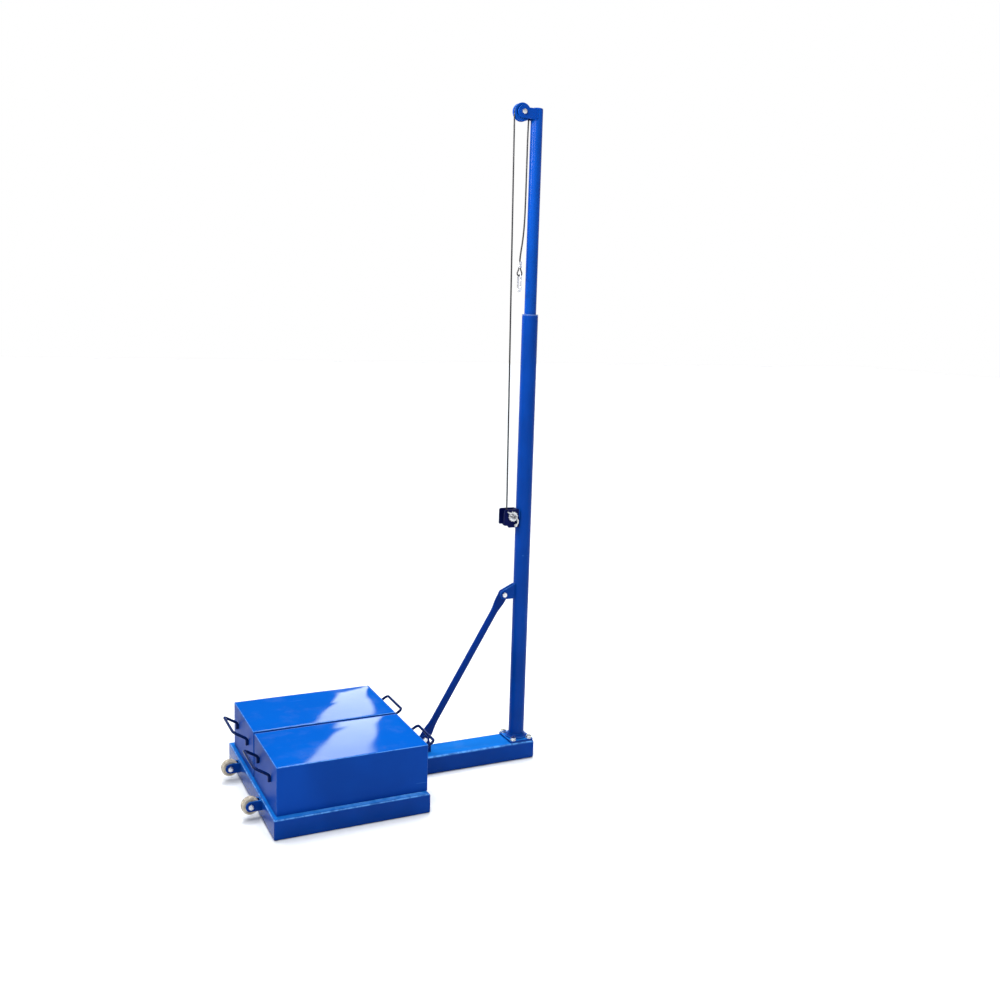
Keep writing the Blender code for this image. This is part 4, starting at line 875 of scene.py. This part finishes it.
def weight_box(side, word):
    """One box on its side of the frame."""
    top = BOX_REST + BOX_HEIGHT
    middle = Vector((BOX_MIDDLE_X, side * BOX_MIDDLE_Y, top))
    deselect()
    bpy.ops.mesh.primitive_grid_add(x_subdivisions=LID_CELLS[0], y_subdivisions=LID_CELLS[1], size=1,
                                    location=middle)
    box = bpy.context.object
    box.scale = (BOX_LENGTH, BOX_WIDTH, 1)
    settle(box)
    edit(box, "EDGE")
    bpy.ops.mesh.select_non_manifold()
    for drop in SIDE_DROPS:
        bpy.ops.mesh.extrude_edges_move(TRANSFORM_OT_translate={"value": (0, 0, -drop)})
    edit(box, "EDGE")
    bpy.ops.mesh.edges_select_sharp(sharpness=math.radians(40))
    bpy.ops.mesh.bevel(offset=BOX_EDGE, segments=4, affect="EDGES")
    deselect()
    mark_edges(box, FLAT_WIDTH)
    for vertex in box.data.vertices:
        across = 2 * (vertex.co.y - middle.y) / BOX_WIDTH
        along = 2 * (vertex.co.x - middle.x) / BOX_LENGTH
        if vertex.co.z > top - CROWN_DEPTH:
            vertex.co.z -= CROWN * (1 - (1 - across ** 2) * (1 - along ** 8))
    clouds = bpy.data.textures.new("sheet_waves", "CLOUDS")
    clouds.noise_scale = WAVE_SIZE
    clouds.noise_depth = 0
    apply_modifier(box, "DISPLACE", texture=clouds, texture_coords="LOCAL", direction="NORMAL",
                   strength=WAVE_HEIGHT, mid_level=1.0)
    apply_modifier(box, "SOLIDIFY", thickness=SHEET, offset=-1.0)
    hand_over(box, f"weight_box_{word}", f"{word}_weight", "bright_blue_enamel", f"counterweight_{word}")


for side, word in SIDES:
    weight_box(side, word)
print("boxes:", LID_CELLS, "cells on each lid, crowned by", CROWN, "m")

# %% [markdown]
# A lifting handle is a 10 mm bar. Each end lies upright on the box and is welded there along both sides,
# then the bar leans out and up, and crosses over. It is pulled and spun as a smith bends it.
# A weld bead is a bar with a ridge for each dip of the rod. One ridge is modelled and an array repeats it,
# and the bead is pushed half into the corner that it fills.

# %% Handles and their welds
HANDLE_ROD = 0.005
HANDLE_SPAN, HANDLE_REACH, HANDLE_RISE, HANDLE_BEND = 0.166, 0.048, 0.030, 0.013
HANDLE_FOOT_LOW, HANDLE_FOOT_HIGH = 0.1603, 0.1843
HANDLE_SPLAY = 0.002  # how much the upper corners stand closer together
BOX_REAR, BOX_FRONT = -1.028, -0.500
BEAD, BOOM_BEAD = (0.0020, 0.0026), (0.0024, 0.0031)  # radius between the ridges, and on them
BEAD_PITCH, BEAD_SIDES = 0.0028, 12
HANDLE_BEAD_OUT, HANDLE_BEAD_ASIDE = 0.0008, 0.0046
HANDLE_BEAD_LOW, HANDLE_BEAD_HIGH = HANDLE_FOOT_LOW + 0.002, HANDLE_FOOT_HIGH - 0.006


def ridged_bar(length, radius, ridge, pitch, sides):
    """A bar of ridges that stands on the origin, with closed ends."""
    deselect()
    bpy.ops.mesh.primitive_circle_add(vertices=sides, radius=radius, fill_type="NOTHING")
    bar = bpy.context.object
    edit(bar, "VERT", "SELECT")
    for share in (ridge / radius, radius / ridge):
        bpy.ops.mesh.extrude_edges_move(TRANSFORM_OT_translate={"value": (0, 0, pitch / 2)})
        bpy.ops.transform.resize(value=(share, share, 1))
    apply_modifier(bar, "ARRAY", count=max(2, round(length / pitch)), use_relative_offset=False,
                   use_constant_offset=True, constant_offset_displace=(0, 0, pitch), use_merge_vertices=True,
                   merge_threshold=MERGE)
    edit(bar, "EDGE")
    bpy.ops.mesh.select_non_manifold()
    bpy.ops.mesh.edge_face_add()
    face_out(bar)
    return bar


def seam(start, end, size=BEAD):
    """A straight weld bead."""
    start, end = Vector(start), Vector(end)
    bead = ridged_bar((end - start).length, *size, BEAD_PITCH, BEAD_SIDES)
    bead.rotation_mode = "QUATERNION"
    bead.rotation_quaternion = (end - start).to_track_quat("Z", "Y")
    bead.location = start
    return settle(bead)


def seam_ring(centre, around, turn):
    """A weld bead round a tube, turned about X by some degrees."""
    deselect()
    count = 2 * round(math.pi * around / BEAD_PITCH)
    bpy.ops.mesh.primitive_torus_add(major_radius=around, minor_radius=BEAD[0], major_segments=count,
                                     minor_segments=BEAD_SIDES, location=centre,
                                     rotation=(math.radians(turn), 0, 0))
    ring = settle(bpy.context.object)
    edit(ring)
    bpy.ops.object.mode_set(mode="OBJECT")
    for vertex in ring.data.vertices:
        vertex.select = vertex.index // BEAD_SIDES % 2 == 0
    bpy.ops.object.mode_set(mode="EDIT")
    bpy.ops.transform.shrink_fatten(value=BEAD[1] - BEAD[0])
    deselect()
    return ring


def handle(side, word, end, face, outward):
    """One handle with the four beads that hold its feet."""
    node = f"handle_{word}_{end}"
    middle = side * BOX_MIDDLE_Y
    near = face + outward * (HANDLE_ROD + TOUCH)
    out = near + outward * HANDLE_REACH
    half = HANDLE_SPAN / 2
    corners = [(near, middle - half, HANDLE_FOOT_LOW), (near, middle - half, HANDLE_FOOT_HIGH),
               (out, middle - half + HANDLE_SPLAY, HANDLE_FOOT_HIGH + HANDLE_RISE),
               (out, middle + half - HANDLE_SPLAY, HANDLE_FOOT_HIGH + HANDLE_RISE),
               (near, middle + half, HANDLE_FOOT_HIGH), (near, middle + half, HANDLE_FOOT_LOW)]
    bar = bend_bar(corners, HANDLE_BEND, HANDLE_ROD)
    # The handle takes a darker copy of its paint: painted shade.
    hand_over(bar, f"lifting_{node}", f"{word}_weight", "blue_enamel", node, finish="shaded_handle_enamel")
    beads = []
    x = face + outward * HANDLE_BEAD_OUT
    for foot in (middle - half, middle + half):
        for y in (foot - HANDLE_BEAD_ASIDE, foot + HANDLE_BEAD_ASIDE):
            beads.append(seam((x, y, HANDLE_BEAD_LOW), (x, y, HANDLE_BEAD_HIGH)))
    return beads


for side, word in SIDES:
    beads = handle(side, word, "rear", BOX_REAR, -1) + handle(side, word, "front", BOX_FRONT, 1)
    # Its welds take the same darker copy: painted shade.
    hand_over(join(beads), f"handle_welds_{word}", f"{word}_weight", "blue_enamel", finish="shaded_handle_enamel")
    print(f"{word} box: 2 handles, {len(beads)} beads")

# %% [markdown]
# The same beads hold the brackets, the boom and the pulley's cheeks. Those on the fixed parts are one
# piece, and those on the sliding tube are another, because they move with it.

# %% Welds of the base and the mast
MAST_RADIUS = 0.03015
WELD_ABOVE_PAWL = 0.956  # the open pawl reaches the mast's near side below this
# Beads that both sides have: distance from the middle, x and z of both ends, and size.
BASE_SEAMS = {
    "boom": (0.0612, (-0.4988, 0.006), (-0.4988, 0.062), BOOM_BEAD),
    "mast_bracket": (0.0105, (-0.0302, 0.641), (-0.0302, 0.694), BEAD),
    "boom_lug": (0.0112, (-0.4140, 0.0712), (-0.3640, 0.0712), BEAD),
    "winch_bracket": (0.0248, (-0.0290, 0.923), (-0.0290, 0.986), BEAD),
}
WHEEL_SEAM = (0.0164, (-1.0428, 0.034), (-1.0428, 0.066), BEAD)
# Beads round tubes: centre, radius, and turn about X in degrees.
RING_SEAMS = {
    "mast": ((0, 0, 0.0908), MAST_RADIUS + 0.0012, 0),
    "foot_ring": ((0, 0, 0.0790), 0.0416, 0),
    "lock_nut": ((0, MAST_RADIUS + TOUCH, 1.660), 0.0104, 90),
}
# Both ends of the two beads of a pulley cheek, on the far side.
CHEEK_SEAMS = (((-0.0082, 0.0212, 2.4155), (-0.0082, 0.0212, 2.4490)),
               ((-0.0165, 0.0160, 2.4140), (-0.0100, 0.0200, 2.4140)))


def side_seam(y, start, end, size):
    """A bead that keeps its distance from the middle, between two places given as x and z."""
    return seam((start[0], y, start[1]), (end[0], y, end[1]), size)


def base_welds():
    """Boom to front rail, foot ring, brackets and the lock nut."""
    beads = []
    for side, word in SIDES:
        for node, (away, start, end, size) in BASE_SEAMS.items():
            if (node, word) == ("winch_bracket", "near"):
                start = (start[0], WELD_ABOVE_PAWL)
            beads.append(side_seam(side * away, start, end, size))
        away, start, end, size = WHEEL_SEAM
        for wheel in (-BOX_MIDDLE_Y, BOX_MIDDLE_Y):
            beads.append(side_seam(wheel + side * away, start, end, size))
    beads += [seam_ring(*ring) for ring in RING_SEAMS.values()]
    return join(beads)


def upper_welds():
    """Pulley cheeks to the sliding tube, along their coped ends and below."""
    beads = []
    for side, _ in SIDES:
        for ends in CHEEK_SEAMS:
            beads.append(seam(*((x, side * y, z) for x, y, z in ends)))
    return join(beads)


hand_over(base_welds(), "base_weld_beads", "base", "blue_enamel")
hand_over(upper_welds(), "pulley_weld_beads", "upper_mast", "blue_enamel")

# %% [markdown]
# Plates and brackets come from the frame with knife-sharp edges. On real ones the saw and the shears
# leave a burr that is filed off, and paint pulls round what is left. So a copy of each has its triangles
# merged and its edges rounded, and those edges are marked for the finish to wear and to show a painted
# highlight.

# %% Plates and brackets with eased edges
EASED = {
    # The foot plate's wider rounding also widens its pale edge of wear and painted highlight.
    "foot_plate": ("base", 0.0020), "mast_bracket": ("base", 0.0008), "boom_lug": ("base", 0.0008),
    "boom_end_cap": ("base", 0.0008), "wheel_bracket_near": ("base", 0.0007),
    "wheel_bracket_far": ("base", 0.0007), "winch_bracket": ("base", 0.0007), "foot_ring": ("base", 0.0008),
    "pulley_cheek_near": ("upper_mast", 0.0008), "pulley_cheek_far": ("upper_mast", 0.0008),
    "ratchet_wheel": ("winch", 0.0003), "ratchet_pawl": ("pawl", 0.0004), "crank_boss": ("winch", 0.0004),
    "winch_drum": ("winch", 0.0005),
}
EASED_ANGLE = 33
FLAT_SHARE = 0.8  # faces wider than this share of the rounding count as flat


def merged_copy(node):
    """A copy of a solid's mesh, with its triangles merged into flat faces."""
    piece = bpy.data.objects.new(f"eased_{node}", frame["nodes"][node].data.copy())
    bpy.context.scene.collection.objects.link(piece)
    edit(piece, "VERT", "SELECT")
    bpy.ops.mesh.remove_doubles(threshold=MERGE)
    bpy.ops.mesh.dissolve_limited(angle_limit=math.radians(0.5))
    deselect()
    return piece


def eased(node, body, width):
    """A copy of a solid with its edges rounded."""
    piece = merged_copy(node)
    round_edges(piece, width, 2, EASED_ANGLE)
    mark_edges(piece, width * FLAT_SHARE)
    hand_over(piece, f"eased_{node}", body, slot_of[node], node, finish=finish_of[node])
    only(piece)
    apply_modifier(piece, "WEIGHTED_NORMAL", keep_sharp=True)
    return piece


for node, (body, width) in EASED.items():
    piece = eased(node, body, width)
    print(f"{piece.name}: {len(piece.data.polygons)} faces")

# %% [markdown]
# The rails and the boom are drawn tubes, so their corners are round already, and only a pale line along
# them is added, of worn paint and a painted highlight. The concrete is cast to just under the lid. The lid
# crowns and its rim dips, so the filling's top is set a little lower, where it stays out of sight. The brace
# is a tube pressed flat at both ends, and in the photograph its round part is slimmer than the frame's, so
# that part is drawn in.

# %% Rails, boom, brace and filling
CORNER_STRIP_WIDTH, CORNER_STRIP_LENGTH = 0.005, 0.030
# Flanks of a corner get a smaller share of the wear and the painted highlight.
CORNER_LEAN, CORNER_FLANK_WEAR_AND_HIGHLIGHT = math.radians(35), 0.4
BRACE_END, BRACE_TAPER, BRACE_SLIMMER = 0.021, 0.060, 0.82
FILLING_DROP = 0.0045


def corner_marked_tube(node):
    """A copy of a tube, marked along the middle of its rounded corners."""
    piece = merged_copy(node)
    mesh = piece.data
    leans = [[] for vertex in mesh.vertices]
    for face in mesh.polygons:
        longest = max((mesh.vertices[a].co - mesh.vertices[b].co).length for a, b in face.edge_keys)
        if longest > CORNER_STRIP_LENGTH and face.area / longest < CORNER_STRIP_WIDTH:
            for index in face.vertices:
                leans[index].append(face.normal)
    values = [0.0] * len(leans)
    for index, normals in enumerate(leans):
        if len(normals) > 1:
            second = sorted(abs(part) for part in sum(normals, Vector()).normalized())[1]
            values[index] = 1.0 if second > math.sin(CORNER_LEAN) else CORNER_FLANK_WEAR_AND_HIGHLIGHT
    mesh.attributes.new("edge", "FLOAT", "POINT").data.foreach_set("value", values)
    print(f"{node}: {values.count(1.0)} points in the middle of a corner")
    # The marked corners turn pale: worn paint and a painted highlight.
    hand_over(piece, f"worn_{node}", "base", slot_of[node], node)


def slim_brace():
    """A copy of the brace that is drawn in round its axis between the flat ends."""
    piece = merged_copy("brace")
    bolts = [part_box(f"brace_bolt_{end}") for end in ("lower", "upper")]
    foot, top = ((box[0] + box[1]) / 2 for box in bolts)
    foot.y = top.y = 0
    along = (top - foot).normalized()
    for vertex in piece.data.vertices:
        reach = (vertex.co - foot).dot(along)
        inner = min(reach, (top - foot).length - reach)
        ease = min(1.0, max(0.0, (inner - BRACE_END) / BRACE_TAPER))
        middle = foot + along * reach
        vertex.co = middle + (vertex.co - middle) * (1 - (1 - BRACE_SLIMMER) * ease * ease * (3 - 2 * ease))
    hand_over(piece, "brace_tube", "base", slot_of["brace"], "brace", finish=finish_of["brace"])


def filling(word):
    """The concrete in one box."""
    piece = merged_copy(f"concrete_{word}")
    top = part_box(f"concrete_{word}")[1][2]
    for vertex in piece.data.vertices:
        vertex.co.z = min(vertex.co.z, top - FILLING_DROP)
    hand_over(piece, f"filling_{word}", f"{word}_weight", "concrete", f"concrete_{word}")


for node in ("rear_rail", "near_rail", "far_rail", "front_rail_near", "front_rail_far", "boom"):
    corner_marked_tube(node)
slim_brace()
for _, word in SIDES:
    filling(word)

# %% [markdown]
# A bolt head is a hexagon whose corners are turned off at 30 degrees. A round blank with a bevelled top is
# cut by six planes, which leaves the curved shoulders of a real head. The end of the bolt has a thread,
# made of the same kind of ridges as a weld bead, but finer.

# %% Bolts and nuts
HEAD_CHAMFER, HEAD_EDGE = 0.0011, 0.0003
WASHER_HEIGHT, WASHER_EDGE = 0.0022, 0.0005
BOLT_FLATS, BOLT_HEAD, NUT_HEIGHT = 0.017, 0.0065, 0.008
BOLT_RADIUS, BOLT_PROUD = 0.005, 0.003
THREAD_GROOVE, THREAD_PITCH, THREAD_SIDES, THREAD_START = 0.88, 0.0015, 24, 0.001
FOOT_FLATS, FOOT_HEAD, FOOT_WASHER = 0.019, 0.008, 0.012
FOOT_SEATS = [(x, y, 0.0786) for x in (-0.034, 0.034) for y in (-0.045, 0.045)]
# Bolts along Y: body, the solids that they stand for, x, z, and how far each seat is from the middle.
BOLTS = {
    "brace_bolt_set_upper": ("base", ("brace_bolt_upper", "brace_nut_upper"), -0.0744, 0.6557, 0.0106),
    "brace_bolt_set_lower": ("base", ("brace_bolt_lower", "brace_nut_lower"), -0.3887, 0.1197, 0.0106),
    "pulley_axle_set": ("upper_mast", ("axle_bolt", "axle_nut"), PULLEY_AXLE.x, PULLEY_AXLE.z, 0.0208),
}
WHEEL_SEAT = 0.0161


def hexagon(flats, height, both=False):
    """A head or nut that stands on the origin, with its corners turned off."""
    deselect()
    corner = flats / 2 / math.cos(math.radians(30))
    bpy.ops.mesh.primitive_cylinder_add(vertices=60, radius=corner, depth=height, location=(0, 0, height / 2))
    head = settle(bpy.context.object)
    ends = (0, height) if both else (height,)
    pick_edges(head, lambda p: min(abs(p.z - end) for end in ends) < 1e-5 and p.xy.length > corner * 0.9)
    bpy.ops.mesh.bevel(offset=HEAD_CHAMFER, segments=1, affect="EDGES")
    for step in range(6):
        angle = math.radians(60 * step)
        outward = Vector((math.cos(angle), math.sin(angle), 0))
        bpy.ops.mesh.select_all(action="SELECT")
        bpy.ops.mesh.bisect(plane_co=outward * flats / 2, plane_no=outward, use_fill=True, clear_outer=True)
    deselect()
    round_edges(head, HEAD_EDGE, 2, 25)
    return head


def washer(radius):
    """A washer with rounded edges, which stands on the origin."""
    deselect()
    bpy.ops.mesh.primitive_cylinder_add(vertices=40, radius=radius, depth=WASHER_HEIGHT,
                                        location=(0, 0, WASHER_HEIGHT / 2))
    disc = settle(bpy.context.object)
    round_edges(disc, WASHER_EDGE, 3, 40)
    return disc


def raised(piece, height):
    """Lift a piece along Z."""
    piece.data.transform(Matrix.Translation((0, 0, height)))
    return piece


def placed(piece, seat, outward):
    """Turn a piece that was made upright so that it stands outward on its seat."""
    turn = Vector(outward).to_track_quat("Z", "Y").to_matrix().to_4x4()
    piece.data.transform(Matrix.Translation(seat) @ turn)
    return piece


def nut_and_end():
    """A nut with the end of its bolt standing out of it."""
    length = NUT_HEIGHT + BOLT_PROUD - THREAD_START
    end = ridged_bar(length, BOLT_RADIUS * THREAD_GROOVE, BOLT_RADIUS, THREAD_PITCH, THREAD_SIDES)
    return join([hexagon(BOLT_FLATS, NUT_HEIGHT, both=True), raised(end, THREAD_START)])


def through_bolt(name, body, nodes, x, z, seat, middle=0.0):
    """A bolt along Y with its nut, on seats to both sides of a place."""
    head = placed(hexagon(BOLT_FLATS, BOLT_HEAD), (x, middle - seat, z), (0, -1, 0))
    nut = placed(nut_and_end(), (x, middle + seat, z), (0, 1, 0))
    hand_over(join([head, nut]), name, body, "zinc", *nodes, smooth=30)


for number, seat in enumerate(FOOT_SEATS, 1):
    head = join([raised(hexagon(FOOT_FLATS, FOOT_HEAD), WASHER_HEIGHT), washer(FOOT_WASHER)])
    hand_over(placed(head, seat, (0, 0, 1)), f"foot_bolt_head_{number}", "base", "zinc",
              f"foot_bolt_{number}", smooth=30)
for name, values in BOLTS.items():
    through_bolt(name, *values)
for side, word in SIDES:
    through_bolt(f"wheel_axle_set_{word}", "base", (f"wheel_axle_{word}",), WHEEL_AXLE_X, WHEEL_AXLE_Z,
                 WHEEL_SEAT, side * BOX_MIDDLE_Y)
print("bolts:", len(FOOT_SEATS), "in the foot and", len(BOLTS) + len(SIDES), "across")

# %% [markdown]
# The pulley and the transport wheels are turned parts. Half of the section is drawn as a strip of points
# and spun round the axle. Bevels round the corners of the rims and hubs.

# %% Pulley and transport wheels
LATHE_STEPS = 72
RIM_EDGE, RIM_FLAT = 0.0006, 0.0007
# Half sections, as radius and distance from the wheel's middle.
PULLEY_HALF = [(0.0257, 0.0002), (0.0257, 0.0015), (0.0266, 0.0032), (0.0290, 0.0040), (0.0325, 0.0085),
               (0.0325, 0.0105), (0.0237, 0.0105), (0.0217, 0.0060), (0.0120, 0.0060), (0.0120, 0.0147),
               (0.0053, 0.0147)]
WHEEL_HALF = [(0.0300, 0.0), (0.0300, 0.0085), (0.0286, 0.0106), (0.0240, 0.011), (0.0228, 0.0072),
              (0.0132, 0.0072), (0.012, 0.011), (0.0053, 0.011)]


def lathe(profile, middle):
    """Spin a closed section, given as (radius, distance along Y), round the axle through `middle`."""
    deselect()
    bpy.ops.mesh.primitive_circle_add(vertices=len(profile), radius=1, fill_type="NOTHING")
    section = bpy.context.object
    for vertex, (radius, along) in zip(section.data.vertices, profile):
        vertex.co = Vector(middle) + Vector((radius, along, 0))
    edit(section, "VERT", "SELECT")
    bpy.ops.mesh.spin(steps=LATHE_STEPS, angle=2 * math.pi, center=middle, axis=(0, 1, 0))
    bpy.ops.mesh.select_all(action="SELECT")
    bpy.ops.mesh.remove_doubles(threshold=MERGE)
    face_out(section)
    return section


def mirrored(half):
    """A section from its half on the positive side."""
    return half + [(radius, -along) for radius, along in reversed(half)]


wheel = lathe(mirrored(PULLEY_HALF), PULLEY_AXLE)
round_edges(wheel, RIM_EDGE, 3, 30)
mark_edges(wheel, RIM_FLAT)
hand_over(wheel, "pulley_wheel", "sheave", "light_blue_enamel", "pulley")
for side, word in SIDES:
    roller = lathe(mirrored(WHEEL_HALF)[:-1], (WHEEL_AXLE_X, side * BOX_MIDDLE_Y, WHEEL_AXLE_Z))
    round_edges(roller, RIM_EDGE, 3, 30)
    hand_over(roller, f"transport_wheel_{word}", f"{word}_wheel", "cream_nylon", f"wheel_{word}")
